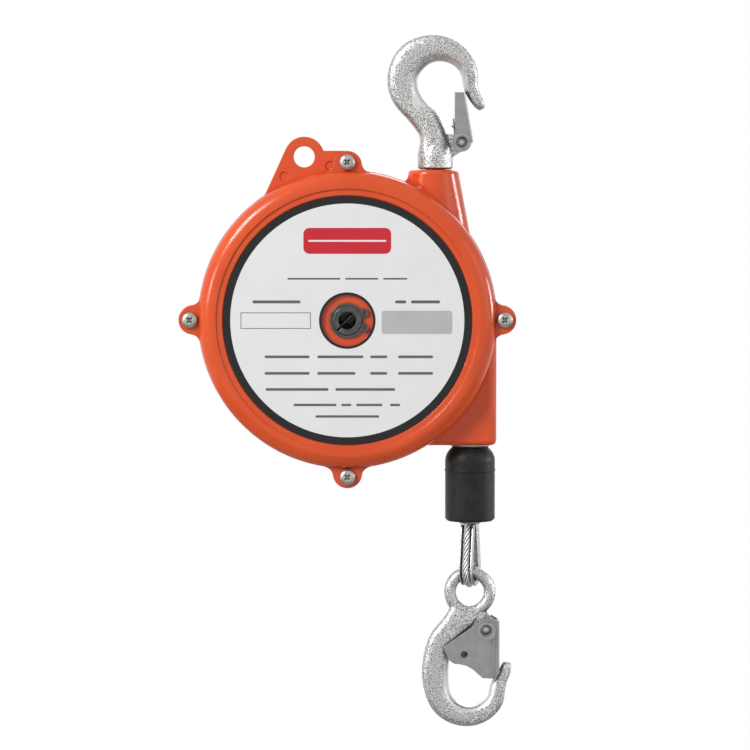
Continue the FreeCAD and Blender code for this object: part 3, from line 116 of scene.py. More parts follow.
class Bench:
    """One mesh on the bench: added as a primitive, shaped in edit mode, then finished."""

    def __init__(self, name: str, add: Callable[..., object], **settings: object) -> None:
        """Adds the primitive at its size and place.

        Args:
            name: Name of the finished piece.
            add: The operator that adds the primitive.
            settings: What the operator is given.
        """
        clear_selection()
        scale = settings.pop("scale", (1, 1, 1))
        add(**settings)
        self.obj = bpy.context.object
        self.obj.scale = scale
        self.obj.name = name
        self.obj.data.name = name
        bpy.ops.object.transform_apply(location=True, rotation=True, scale=True)

    @classmethod
    def of(cls, obj: Piece) -> "Bench":
        """Puts a mesh that exists already on the bench.

        Args:
            obj: The mesh's object.

        Returns:
            The bench.
        """
        bench = cls.__new__(cls)
        bench.obj = obj
        return bench

    def choose(self, kind: Part, test: Callable[[Vector, Vector], bool]) -> None:
        """Enters edit mode and selects only what passes a test.

        Args:
            kind: Vertices, edges or faces.
            test: Takes the centre of each, and its normal or, for an edge, its direction.
        """
        pick(self.obj)
        bpy.ops.object.mode_set(mode="EDIT")
        bpy.ops.mesh.select_mode(type=kind.value)
        bpy.ops.mesh.select_all(action="DESELECT")
        mesh = bmesh.from_edit_mesh(self.obj.data)
        mesh.normal_update()
        if kind is Part.FACES:
            rows = [(f, f.calc_center_median(), f.normal) for f in mesh.faces]
        elif kind is Part.EDGES:
            rows = [(e, (e.verts[0].co + e.verts[1].co) / 2,
                     e.verts[1].co - e.verts[0].co) for e in mesh.edges]
        else:
            rows = [(v, v.co, v.normal) for v in mesh.verts]
        for item, centre, normal in rows:
            if test(centre, normal):
                item.select_set(True)
        mesh.select_flush_mode()
        bmesh.update_edit_mesh(self.obj.data)

    def everything(self) -> None:
        """Selects the whole mesh in edit mode."""
        self.choose(Part.VERTS, lambda centre, normal: True)

    def modifier(self, kind: str, **settings: object) -> None:
        """Adds a modifier and applies it.

        Args:
            kind: The modifier's type.
            settings: Its settings.
        """
        pick(self.obj)
        made = self.obj.modifiers.new(kind.title(), kind)
        for key, value in settings.items():
            setattr(made, key, value)
        bpy.ops.object.modifier_apply(modifier=made.name)

    def soften(self, width: float, angle: float) -> None:
        """Rounds off the edges that turn by more than an angle, in degrees."""
        limit = math.radians(angle)
        self.modifier("BEVEL", width=width, segments=2, limit_method="ANGLE", angle_limit=limit)

    def close(self, angle: float = 30.0) -> Piece:
        """Merges doubles, turns the faces outwards and shades the piece smooth up to an angle.

        Args:
            angle: The angle between faces, in degrees, past which an edge stays sharp.

        Returns:
            The finished object.
        """
        self.everything()
        bpy.ops.mesh.remove_doubles(threshold=MERGE_GAP)
        bpy.ops.mesh.normals_make_consistent(inside=False)
        bpy.ops.object.mode_set(mode="OBJECT")
        bpy.ops.object.shade_smooth_by_angle(angle=math.radians(angle))
        return self.obj


def clear_selection() -> None:
    """Leaves edit mode and deselects every object."""
    if bpy.context.object and bpy.context.object.mode != "OBJECT":
        bpy.ops.object.mode_set(mode="OBJECT")
    bpy.ops.object.select_all(action="DESELECT")


def pick(obj: Piece) -> None:
    """Makes one object the only selected one, and the active one.

    Args:
        obj: The object.
    """
    clear_selection()
    obj.hide_set(False)
    obj.select_set(True)
    bpy.context.view_layer.objects.active = obj


def draw_out(*move: float) -> None:
    """Extrudes what is selected by a move along X, Y and Z."""
    bpy.ops.mesh.extrude_region_move(TRANSFORM_OT_translate={"value": move})


def join(objects: list[Piece], name: str) -> Piece:
    """Joins objects into the first of them.

    Args:
        objects: The objects, each at the origin.
        name: Name of the joined piece.

    Returns:
        The joined object.
    """
    pick(objects[0])
    for obj in objects[1:]:
        obj.select_set(True)
    bpy.ops.object.join()
    objects[0].name = name
    return objects[0]


def turned_copy(obj: Piece, name: str, turn: Matrix) -> Piece:
    """Copies a piece, with a mesh of its own, and turns or moves the copy's mesh.

    Args:
        obj: The piece to copy.
        name: Name of the copy.
        turn: The turn or move, in the frame that all pieces share.

    Returns:
        The copy, at the origin.
    """
    pick(obj)
    bpy.ops.object.duplicate(linked=False)
    copy = bpy.context.object
    copy.name = name
    copy.matrix_world = turn @ copy.matrix_world
    bpy.ops.object.transform_apply(location=True, rotation=True, scale=True)
    return copy


def about_axis(centre: Vector, degrees: float, axis: str = "Y") -> Matrix:
    """Gives a turn about an axis along X, Y or Z.

    Args:
        centre: A point on the axis.
        degrees: The angle, clockwise seen from the front for an axis along Y.
        axis: The axis's letter.

    Returns:
        The turn, in the frame that all pieces share.
    """
    return (Matrix.Translation(centre) @ Matrix.Rotation(math.radians(degrees), 4, axis)
            @ Matrix.Translation(-centre))


# ------------------------------------------------------------------ finishes

@dataclass(frozen=True)
class Bowl:
    """Bowl of a forged hook: a round end, straight sides towards its throat, and a smooth band inside them, worn
    by use and painted lighter as a highlight.

    The round end is up where closed_side is 1, and down where it is -1.
    """

    centre: Vector
    radius: float
    band: float
    reach: float
    closed_side: int
    soft: float = 0.4 * MM
    wander: float = 0.25 * MM
    wander_grain: float = 5.0
    fade: float = 4 * MM


class NodeSheet:
    """The nodes of one material."""

    def __init__(self, name: str) -> None:
        """Starts a material with its shader and object coordinates.

        Args:
            name: Name of the material.
        """
        self.material = bpy.data.materials.new(name)
        self.material.use_nodes = True
        self.tree = self.material.node_tree
        self.shader = self.tree.nodes["Principled BSDF"]
        self.place = self.add("ShaderNodeTexCoord").outputs["Object"]

    def add(self, kind: str, **settings: object) -> bpy.types.Node:
        """Adds a node.

        Args:
            kind: Its type.
            settings: Its properties.

        Returns:
            The node.
        """
        node = self.tree.nodes.new(kind)
        for key, value in settings.items():
            setattr(node, key, value)
        return node

    def wire(self, source: Socket, target: Socket) -> None:
        """Links two sockets."""
        self.tree.links.new(source, target)

    def constant(self, **values: object) -> None:
        """Sets plain values on the shader's own sockets, given with _ for a space."""
        for key, value in values.items():
            self.shader.inputs[key.replace("_", " ")].default_value = value

    def noise(self, grain: float, detail: float = 4.0, rough: float = 0.55) -> Socket:
        """Adds noise over the object's own coordinates.

        Args:
            grain: Size of its largest features, in millimetres.
            detail: Octaves.
            rough: How strong the finer octaves are.

        Returns:
            The noise's value, about 0 to 1.
        """
        node = self.add("ShaderNodeTexNoise")
        node.inputs["Scale"].default_value = 1 / (grain * MM)
        node.inputs["Detail"].default_value = detail
        node.inputs["Roughness"].default_value = rough
        self.wire(self.place, node.inputs["Vector"])
        return node.outputs["Fac"]

    def spread(self, value: Socket, low: float, high: float,
               start: float = 0.3, end: float = 0.7) -> Socket:
        """Maps a value to a range.

        Args:
            value: The value.
            low: What the start of its range gives.
            high: What the end of its range gives.
            start: The start of its range.
            end: The end of its range.

        Returns:
            The mapped value.
        """
        node = self.add("ShaderNodeMapRange")
        self.wire(value, node.inputs["Value"])
        for key, number in (("From Min", start), ("From Max", end), ("To Min", low), ("To Max", high)):
            node.inputs[key].default_value = number
        return node.outputs["Result"]

    def blend(self, factor: Socket, first: Colour, second: Colour,
              start: float = 0.3, end: float = 0.7) -> Socket:
        """Blends two colours.

        Args:
            factor: What chooses between them.
            first: Colour at the start of the factor's range.
            second: Colour at its end.
            start: The start of the range.
            end: The end of the range.

        Returns:
            The colour.
        """
        node = self.add("ShaderNodeValToRGB")
        node.color_ramp.elements[0].position = start
        node.color_ramp.elements[0].color = (*first, 1)
        node.color_ramp.elements[1].position = end
        node.color_ramp.elements[1].color = (*second, 1)
        self.wire(factor, node.inputs["Fac"])
        return node.outputs["Color"]

    def bump(self, height: Socket, depth: float, strength: float,
             under: Socket | None = None) -> Socket:
        """Adds a bump.

        Args:
            height: The height, 0 to 1.
            depth: What a height of 1 stands for, in millimetres.
            strength: How much of it shows.
            under: The normal of a bump underneath.

        Returns:
            The bent normal.
        """
        node = self.add("ShaderNodeBump")
        node.inputs["Strength"].default_value = strength
        node.inputs["Distance"].default_value = depth * MM
        self.wire(height, node.inputs["Height"])
        if under is not None:
            self.wire(under, node.inputs["Normal"])
        return node.outputs["Normal"]

    def rounded(self, radius: float) -> Socket:
        """Gives a normal that is soft along edges, as a cast or pressed edge is.

        Args:
            radius: How far the softening reaches, in millimetres.

        Returns:
            The normal.
        """
        node = self.add("ShaderNodeBevel", samples=RAY_SAMPLES)
        node.inputs["Radius"].default_value = radius * MM
        return node.outputs["Normal"]

    def corner_shade(self, reach: float, most: float, start: float = 0.3,
              end: float = 0.9) -> Socket:
        """Finds corners and gaps, where shade falls, for painting shade into a colour.

        Args:
            reach: How near the other surface lies, in millimetres.
            most: The value in the deepest corners.
            start: How open a place is, from 0 to 1, where the value begins to fall.
            end: How open it is where the value reaches 0.

        Returns:
            The value.
        """
        node = self.add("ShaderNodeAmbientOcclusion", samples=RAY_SAMPLES)
        node.inputs["Distance"].default_value = reach * MM
        return self.spread(node.outputs["AO"], most, 0.0, start, end)

    def feed(self, target: Socket, source: Socket | Colour | float) -> None:
        """Links a socket, or sets a plain number or colour on it.

        Args:
            target: The socket.
            source: Where its value comes from.
        """
        if isinstance(source, Socket):
            self.wire(source, target)
        else:
            target.default_value = (*source, 1) if isinstance(source, tuple) else source

    def maths(self, operation: str, first: Socket | float,
              second: Socket | float = 0.0) -> Socket:
        """Adds a sum.

        Args:
            operation: Its name.
            first: Its first number.
            second: Its second number.

        Returns:
            The result.
        """
        node = self.add("ShaderNodeMath", operation=operation)
        for socket, source in zip(node.inputs, (first, second)):
            self.feed(socket, source)
        return node.outputs["Value"]

    def mixed(self, factor: Socket, first: Socket | Colour,
              second: Socket | Colour) -> Socket:
        """Mixes two colours.

        Args:
            factor: How much of the second shows.
            first: The first colour.
            second: The second colour.

        Returns:
            The mixed colour.
        """
        node = self.add("ShaderNodeMix", data_type="RGBA")
        plain_factor, first_colour, second_colour, colour_result = 0, 6, 7, 2
        self.wire(factor, node.inputs[plain_factor])
        self.feed(node.inputs[first_colour], first)
        self.feed(node.inputs[second_colour], second)
        return node.outputs[colour_result]

    def bowl_band(self, bowl: Bowl) -> Socket:
        """Marks the smooth band along the inside of a hook's bowl, worn by use and painted lighter as a highlight.

        Args:
            bowl: The bowl.

        Returns:
            A value from 0 outside the band to 1 in it.
        """
        split = self.add("ShaderNodeSeparateXYZ")
        self.wire(self.place, split.inputs["Vector"])
        across = self.maths("SUBTRACT", split.outputs["X"], bowl.centre.x)
        along = self.maths("MULTIPLY", self.maths("SUBTRACT", split.outputs["Z"], bowl.centre.z),
                           float(bowl.closed_side))
        deep = self.maths("MAXIMUM", along, 0.0)
        square = self.maths("ADD", self.maths("MULTIPLY", across, across),
                            self.maths("MULTIPLY", deep, deep))
        wander = self.spread(self.noise(bowl.wander_grain), -bowl.wander, bowl.wander)
        edge = bowl.radius + bowl.band
        band = self.spread(self.maths("ADD", self.maths("SQRT", square), wander), 1.0, 0.0,
                           edge - bowl.soft, edge + bowl.soft)
        end = self.spread(along, 0.0, 1.0, -bowl.reach, -bowl.reach + bowl.fade)
        return self.maths("MULTIPLY", band, end)

    def into(self, **sources: Socket) -> None:
        """Wires sockets into the shader's inputs, given with _ for a space."""
        for key, source in sources.items():
            self.wire(source, self.shader.inputs[key.replace("_", " ")])


@dataclass(frozen=True)
class EnamelFinish:
    """Glossy stove enamel on a die casting."""

    name: str = "orange_enamel"
    colour: Colour = (0.78, 0.092, 0.014)
    shade: Colour = (0.71, 0.074, 0.011)
    # painted shade colour for corners and gaps
    corner_shade_enamel: Colour = (0.5, 0.036, 0.006)
    cloud: float = 28.0
    gloss: Range = (0.13, 0.23)
    waves: Relief = (0.05, 0.45)
    peel: float = 1.6
    peel_relief: Relief = (0.01, 0.5)
    edge: float = 0.9
    specular: float = 0.42

    def make(self) -> Material:
        """Makes the material: cloudy colour, painted shade deeper in corners, orange peel and soft edges.

        Returns:
            The material.
        """
        sheet = NodeSheet(self.name)
        cloud = sheet.blend(sheet.noise(self.cloud, detail=3.0), self.shade, self.colour)
        # painted shade: corners and gaps darken toward the shaded corner colour
        corner = sheet.corner_shade(reach=3.0, most=0.6, start=0.35)
        sheet.into(Base_Color=sheet.mixed(corner, cloud, self.corner_shade_enamel))
        sheet.into(Roughness=sheet.spread(sheet.noise(5.0), *self.gloss))
        waves = sheet.bump(sheet.noise(self.peel * 4, detail=2.0), *self.waves, sheet.rounded(self.edge))
        sheet.into(Normal=sheet.bump(sheet.noise(self.peel, detail=2.0), *self.peel_relief, waves))
        sheet.constant(Specular_IOR_Level=self.specular)
        return sheet.material


@dataclass(frozen=True)
class ForgedZincFinish:
    """Hot-dipped zinc on a forging: speckled all over, and smooth where the bowl was trimmed, with a painted
    highlight there and painted shade in corners.
    """

    name: str
    bowl: Bowl
    dark: Colour = (0.1, 0.1, 0.098)
    middle: Colour = (0.43, 0.43, 0.425)
    bright: Colour = (0.86, 0.86, 0.85)
    # lighter colour of the bowl's band: real polish from wear, and a painted highlight along its round inner edge
    smooth: Colour = (0.72, 0.72, 0.71)
    worn: float = 0.75
    grain: float = 0.6
    dark_to_middle: Range = (0.38, 0.49)
    middle_to_bright: Range = (0.5, 0.62)
    clouded: float = 0.25
    gloss: Range = (0.24, 0.42)
    metal: Range = (0.8, 0.95)
    scale: Relief = (0.2, 0.45)
    pits: Relief = (0.22, 0.85)
    worn_pits: float = 0.12
    edge: float = 0.5

    def make(self) -> Material:
        """Makes the material: speckle over slow clouds, pits, a worn band in the bowl painted lighter as a
        highlight, and painted shade in corners.

        Returns:
            The material.
        """
        sheet = NodeSheet(self.name)
        band = sheet.maths("MULTIPLY", sheet.bowl_band(self.bowl), self.worn)
        speckle = sheet.noise(self.grain, detail=2.5, rough=0.7)
        rough = sheet.blend(speckle, self.dark, self.middle, *self.dark_to_middle)
        rough = sheet.mixed(sheet.spread(speckle, 0.0, 1.0, *self.middle_to_bright), rough, self.bright)
        cloud = sheet.spread(sheet.noise(6.0, detail=3.0), 0.0, self.clouded)
        rough = sheet.mixed(cloud, rough, self.middle)
        # painted highlight: the worn band turns to the lighter polished colour
        colour = sheet.mixed(band, rough, self.smooth)
        # painted shade: corners and gaps darken to the dark colour
        corner_shade = sheet.corner_shade(reach=2.5, most=0.75)
        sheet.into(Base_Color=sheet.mixed(corner_shade, colour, self.dark))
        sheet.into(Roughness=sheet.spread(sheet.noise(self.grain * 1.4, detail=3.0), *self.gloss))
        sheet.into(Metallic=sheet.spread(band, *self.metal, 0.0, 1.0))
        scale = sheet.bump(sheet.noise(3.0, detail=3.0), *self.scale, sheet.rounded(self.edge))
        pits = sheet.maths("MULTIPLY", speckle, sheet.spread(band, 1.0, self.worn_pits, 0.0, 1.0))
        sheet.into(Normal=sheet.bump(pits, *self.pits, scale))
        return sheet.material


@dataclass(frozen=True)
class PlatedSteelFinish:
    """Zinc plate or bare finish on pressed, drawn and turned steel."""

    name: str
    colour: Colour
    dull: Colour
    gloss: float = 0.32
    grain: float = 1.0
    relief: float = 0.02
    metal: float = 0.9
    edge: float = 0.25
    # painted shade in corners: how near the other surface lies, how strong it gets, and what share of the dull
    # colour it darkens to
    reach: float = 1.5
    corner_shade: float = 0.7
    corner_shade_scale: float = 0.25
    gloss_rise: float = 0.16

    def make(self) -> Material:
        """Makes the material: slight clouding, fine grain, soft edges and painted shade in corners.

        Returns:
            The material.
        """
        sheet = NodeSheet(self.name)
        cloud = sheet.blend(sheet.noise(self.grain * 4, detail=5.0, rough=0.65), self.dull, self.colour)
        # painted shade: corners and gaps darken to a dark share of the dull colour
        corner_shade = sheet.corner_shade(self.reach, self.corner_shade)
        corner_shade_colour = tuple(part * self.corner_shade_scale for part in self.dull)
        sheet.into(Base_Color=sheet.mixed(corner_shade, cloud, corner_shade_colour))
        sheet.into(Roughness=sheet.spread(sheet.noise(self.grain * 2), self.gloss,
                                          self.gloss + self.gloss_rise))
        sheet.into(Normal=sheet.bump(sheet.noise(self.grain, detail=3.0), self.relief, strength=0.6,
                                     under=sheet.rounded(self.edge)))
        sheet.constant(Metallic=self.metal)
        return sheet.material


@dataclass(frozen=True)
class PrintFinish:
    """Satin plate stock or an ink printed on it."""

    name: str
    colour: Colour
    worn: Colour
    gloss: float = 0.42
    shine: float = 0.5
    gloss_rise: float = 0.12
    relief: Relief = (0.004, 0.5)

    def make(self) -> Material:
        """Makes the material: even colour with faint rub marks.

        Returns:
            The material.
        """
        sheet = NodeSheet(self.name)
        sheet.into(Base_Color=sheet.blend(sheet.noise(14.0, detail=5.0, rough=0.6), self.worn, self.colour))
        sheet.into(Roughness=sheet.spread(sheet.noise(6.0), self.gloss, self.gloss + self.gloss_rise))
        sheet.into(Normal=sheet.bump(sheet.noise(0.5, detail=2.0), *self.relief))
        sheet.constant(Specular_IOR_Level=self.shine)
        return sheet.material


@dataclass(frozen=True)
class RubberFinish:
    """Moulded black rubber with a dusty bloom."""

    name: str = "black_rubber"
    colour: Colour = (0.012, 0.012, 0.013)
    bloom: Colour = (0.034, 0.034, 0.036)
    bloomed: Range = (0.45, 0.8)
    gloss: Range = (0.36, 0.52)
    coarse: Relief = (0.06, 0.3)
    fine: Relief = (0.02, 0.4)
    edge: float = 0.4
    specular: float = 0.2

    def make(self) -> Material:
        """Makes the material: mould grain, bloom and small nicks.

        Returns:
            The material.
        """
        sheet = NodeSheet(self.name)
        bloom = sheet.noise(5.0, detail=8.0, rough=0.75)
        sheet.into(Base_Color=sheet.blend(bloom, self.colour, self.bloom, *self.bloomed))
        sheet.into(Roughness=sheet.spread(sheet.noise(3.0), *self.gloss))
        coarse = sheet.bump(sheet.noise(2.4, detail=3.0), *self.coarse, sheet.rounded(self.edge))
        sheet.into(Normal=sheet.bump(sheet.noise(0.45, detail=3.0), *self.fine, coarse))
        sheet.constant(Specular_IOR_Level=self.specular)
        return sheet.material


class Finishes:
    """Every material of the balancer, each made once."""

    top_bowl_r = 11.44 * MM
    top_bowl_shift = 2.4 * MM
    low_bowl_r = 10.7 * MM

    def __init__(self) -> None:
        """Makes the materials."""
        seats = {mount["name"]: Vector(mount["pos_m"]) for mount in frame["record"]["mounts"]}
        top = seats["suspension_seat"] + Vector((self.top_bowl_shift, 0, -self.top_bowl_r))
        low = seats["load_hook_seat"] + Vector((0, 0, self.low_bowl_r))
        top_bowl = Bowl(top, self.top_bowl_r, band=2.6 * MM, reach=14 * MM, closed_side=1)
        low_bowl = Bowl(low, self.low_bowl_r, band=2.4 * MM, reach=16 * MM, closed_side=-1)
        self.enamel = EnamelFinish().make()
        self.forged_top = ForgedZincFinish("forged_zinc_top", top_bowl).make()
        self.forged_low = ForgedZincFinish("forged_zinc_low", low_bowl).make()
        self.pressed = PlatedSteelFinish("pressed_zinc", (0.33, 0.33, 0.328), (0.26, 0.26, 0.258), 0.3,
                                         metal=0.6, edge=0.4).make()
        self.rivet = PlatedSteelFinish("rivet_zinc", (0.6, 0.6, 0.59), (0.45, 0.45, 0.44), 0.14,
                                       edge=0.0, reach=0.7, corner_shade=0.35).make()
        self.fastener = PlatedSteelFinish("screw_zinc", (0.5, 0.48, 0.44), (0.3, 0.285, 0.26), 0.26,
                                          metal=0.75).make()
        # the rope takes full painted shade in the gaps between its strands
        self.rope = PlatedSteelFinish("rope_wire", (0.78, 0.78, 0.77), (0.5, 0.5, 0.49), 0.24, 0.5,
                                      edge=0.0, reach=0.9, corner_shade=1.0).make()
        self.turned = PlatedSteelFinish("turned_steel", (0.42, 0.42, 0.41), (0.32, 0.32, 0.31), 0.25).make()
        self.oiled = PlatedSteelFinish("oiled_spring_steel", (0.12, 0.12, 0.122), (0.05, 0.05, 0.05), 0.2,
                                       edge=0.45).make()
        self.cast = PlatedSteelFinish("cast_aluminium", (0.58, 0.59, 0.6), (0.46, 0.47, 0.48), 0.45,
                                      grain=1.2, relief=0.06).make()
        self.bronze = PlatedSteelFinish("bush_bronze", (0.52, 0.34, 0.15), (0.4, 0.24, 0.1), 0.35).make()
        self.rubber = RubberFinish().make()
        self.plate = PrintFinish("plate_stock", (0.87, 0.87, 0.875), (0.83, 0.83, 0.84)).make()
        self.black_ink = PrintFinish("black_ink", (0.011, 0.0115, 0.012), (0.016, 0.0165, 0.017),
                                     0.45, shine=0.25).make()
        self.grey_ink = PrintFinish("grey_ink", (0.1, 0.1, 0.104), (0.13, 0.13, 0.134)).make()
        self.red_ink = PrintFinish("red_ink", (0.62, 0.014, 0.03), (0.56, 0.012, 0.026)).make()
        self.foil = PrintFinish("foil_tag", (0.53, 0.53, 0.53), (0.48, 0.48, 0.48), 0.3).make()


@dataclass
class SubAssembly:
    """A group of pieces, and the materials that they take."""

    finishes: Finishes


def dress(material: Material, nodes: Iterable[str]) -> None:
    """Gives CAD nodes a material in their objects' slots.

    Args:
        material: The material.
        nodes: The nodes' names.
    """
    for name in nodes:
        obj = frame["nodes"][name]
        if not obj.material_slots:
            obj.data.materials.append(material)
        for slot in obj.material_slots:
            slot.material = material


def coat(obj: Piece, material: Material) -> None:
    """Makes a material the only one of a new piece."""
    obj.data.materials.clear()
    obj.data.materials.append(material)


def place(obj: Piece, body: str, slot: str, *replaces: str) -> None:
    """Sets a finished piece on its body.

    Args:
        obj: The piece.
        body: The CAD body that it rides on.
        slot: The record's material slot; not used.
        replaces: CAD nodes that it stands for.
    """
    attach(obj, body)
    if replaces:
        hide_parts(*replaces)
    LOG.info("%s rides on %s, %d faces", obj.name, body, len(obj.data.polygons))


# ------------------------------------------------------------------ rivets

@dataclass
class LatchRivet(SubAssembly):
    """Rivet of a latch, headed over into a dome at each end."""

    node: str
    body: str
    head_r: float = 3.1 * MM
    shank_r: float = 2.0 * MM
    rise: float = 1.7 * MM
    rings: int = 8
    sides: int = 40
    least_step: float = 0.005 * MM
    crown_part: float = 0.97

    def build(self) -> None:
        """Models the rivet about the CAD rivet's axis."""
        _, high, centre = node_span(self.node)
        seat = high.y - self.rise
        bench = Bench(f"{self.node}_domed", bpy.ops.mesh.primitive_cylinder_add, vertices=self.sides,
                      radius=self.shank_r, depth=2 * seat, location=centre, rotation=ALONG_Y)
        for side in (-1, 1):
            bench.choose(Part.FACES, lambda c, n: n.y * side > FACING)
            bpy.ops.mesh.inset(thickness=0)
            bpy.ops.transform.resize(value=(self.head_r / self.shank_r,) * 3,
                                     center_override=(centre.x, side * seat, centre.z))
            for ring in range(self.rings):
                here, after = (self.profile(step / self.rings) for step in (ring, ring + 1))
                bpy.ops.mesh.inset(thickness=max(here[0] - after[0], self.least_step),
                                   depth=after[1] - here[1])
        rivet = bench.close(angle=50)
        coat(rivet, self.finishes.rivet)
        place(rivet, self.body, "fastener", self.node)

    def profile(self, part: float) -> tuple[float, float]:
        """Gives a point on the dome's outline.

        Args:
            part: How far the point is along the way from the rim to the crown, from 0 to 1.

        Returns:
            The point's radius, and its height over the rim.
        """
        ball = (self.head_r ** 2 + self.rise ** 2) / (2 * self.rise)
        angle = math.asin(self.head_r / ball) * (1 - self.crown_part * part)
        return ball * math.sin(angle), ball * math.cos(angle) - (ball - self.rise)


# ------------------------------------------------------------------ cover screws

@dataclass
class CoverScrews(SubAssembly):
    """Four pan head screws with a cross recess, in the cover's ears."""

    head_r: float = 4.0 * MM
    head_h: float = 2.6 * MM
    shank_r: float = 2.0 * MM
    crown: tuple[tuple[float, float], ...] = ((0.35, 0.5), (0.65, 0.45), (1.0, 0.25))
    recess_w: float = 1.25 * MM
    recess_l: float = 5.4 * MM
    recess_d: float = 1.9 * MM
    recess_taper: tuple[float, float, float] = (0.35, 1, 0.55)
    recess_turns: tuple[float, float] = (45, 135)
    sides: int = 48
    edge: float = 0.06 * MM
    names: tuple[str, ...] = ("top", "right", "bottom", "left")

    def screw(self) -> Piece:
        """Models the screw that sits in the top ear.

        Returns:
            The screw.
        """
        low, high, _ = node_span("cover_screws")
        axis = joint_place("drum_turn")
        seat = low.y + self.head_h
        top = Vector((axis.x, seat, high.z - self.head_r))
        wall = self.head_h - sum(rise for _, rise in self.crown) * MM
        bench = Bench("cover_screw", bpy.ops.mesh.primitive_cylinder_add, vertices=self.sides,
                      radius=self.head_r, depth=wall, rotation=ALONG_Y,
                      location=top - Vector((0, wall / 2, 0)))
        bench.choose(Part.FACES, lambda c, n: n.y < -FACING)
        for inset, rise in self.crown:
            bpy.ops.mesh.inset(thickness=inset * MM, depth=rise * MM)
        bench.choose(Part.FACES, lambda c, n: n.y > FACING)
        bpy.ops.mesh.inset(thickness=self.head_r - self.shank_r)
        draw_out(0, high.y - seat, 0)
        for turn in self.recess_turns:
            self.cut_recess(bench, Vector((top.x, low.y, top.z)), turn)
        bench.soften(self.edge, angle=40)
        return bench.close(angle=40)

    def cut_recess(self, bench: Bench, crown: Vector, turn: float) -> None:
        """Cuts one arm of the cross with a tapered punch.

        Args:
            bench: The screw.
            crown: The middle of the head's face.
            turn: Direction of the arm, in degrees.
        """
        punch = Bench("punch", bpy.ops.mesh.primitive_cube_add, size=1, location=crown,
                      scale=(self.recess_l, 2 * self.recess_d, self.recess_w))
        punch.choose(Part.FACES, lambda c, n: n.y > FACING)
        bpy.ops.transform.resize(value=self.recess_taper, center_override=crown)
        tool = turned_copy(punch.obj, "punch_turned", about_axis(crown, turn))
        bench.modifier("BOOLEAN", operation="DIFFERENCE", object=tool, solver="EXACT")
        for spent in (punch.obj, tool):
            bpy.data.objects.remove(spent)

    def build(self) -> None:
        """Sets a copy of the screw in each ear."""
        axis = joint_place("drum_turn")
        first = self.screw()
        coat(first, self.finishes.fastener)
        for step, side in enumerate(self.names):
            screw = turned_copy(first, f"cover_screw_{side}", about_axis(axis, 90 * step))
            place(screw, "casing", "fastener", "cover_screws")
        bpy.data.objects.remove(first)


# ------------------------------------------------------------------ name plate

@dataclass(frozen=True)
class Patch:
    """One printed patch, in millimetres from the plate's middle. Its lift is in layers of ink."""

    left: float
    right: float
    level: float
    height: float
    corner: float = 0.0
    lift: float = 1.0


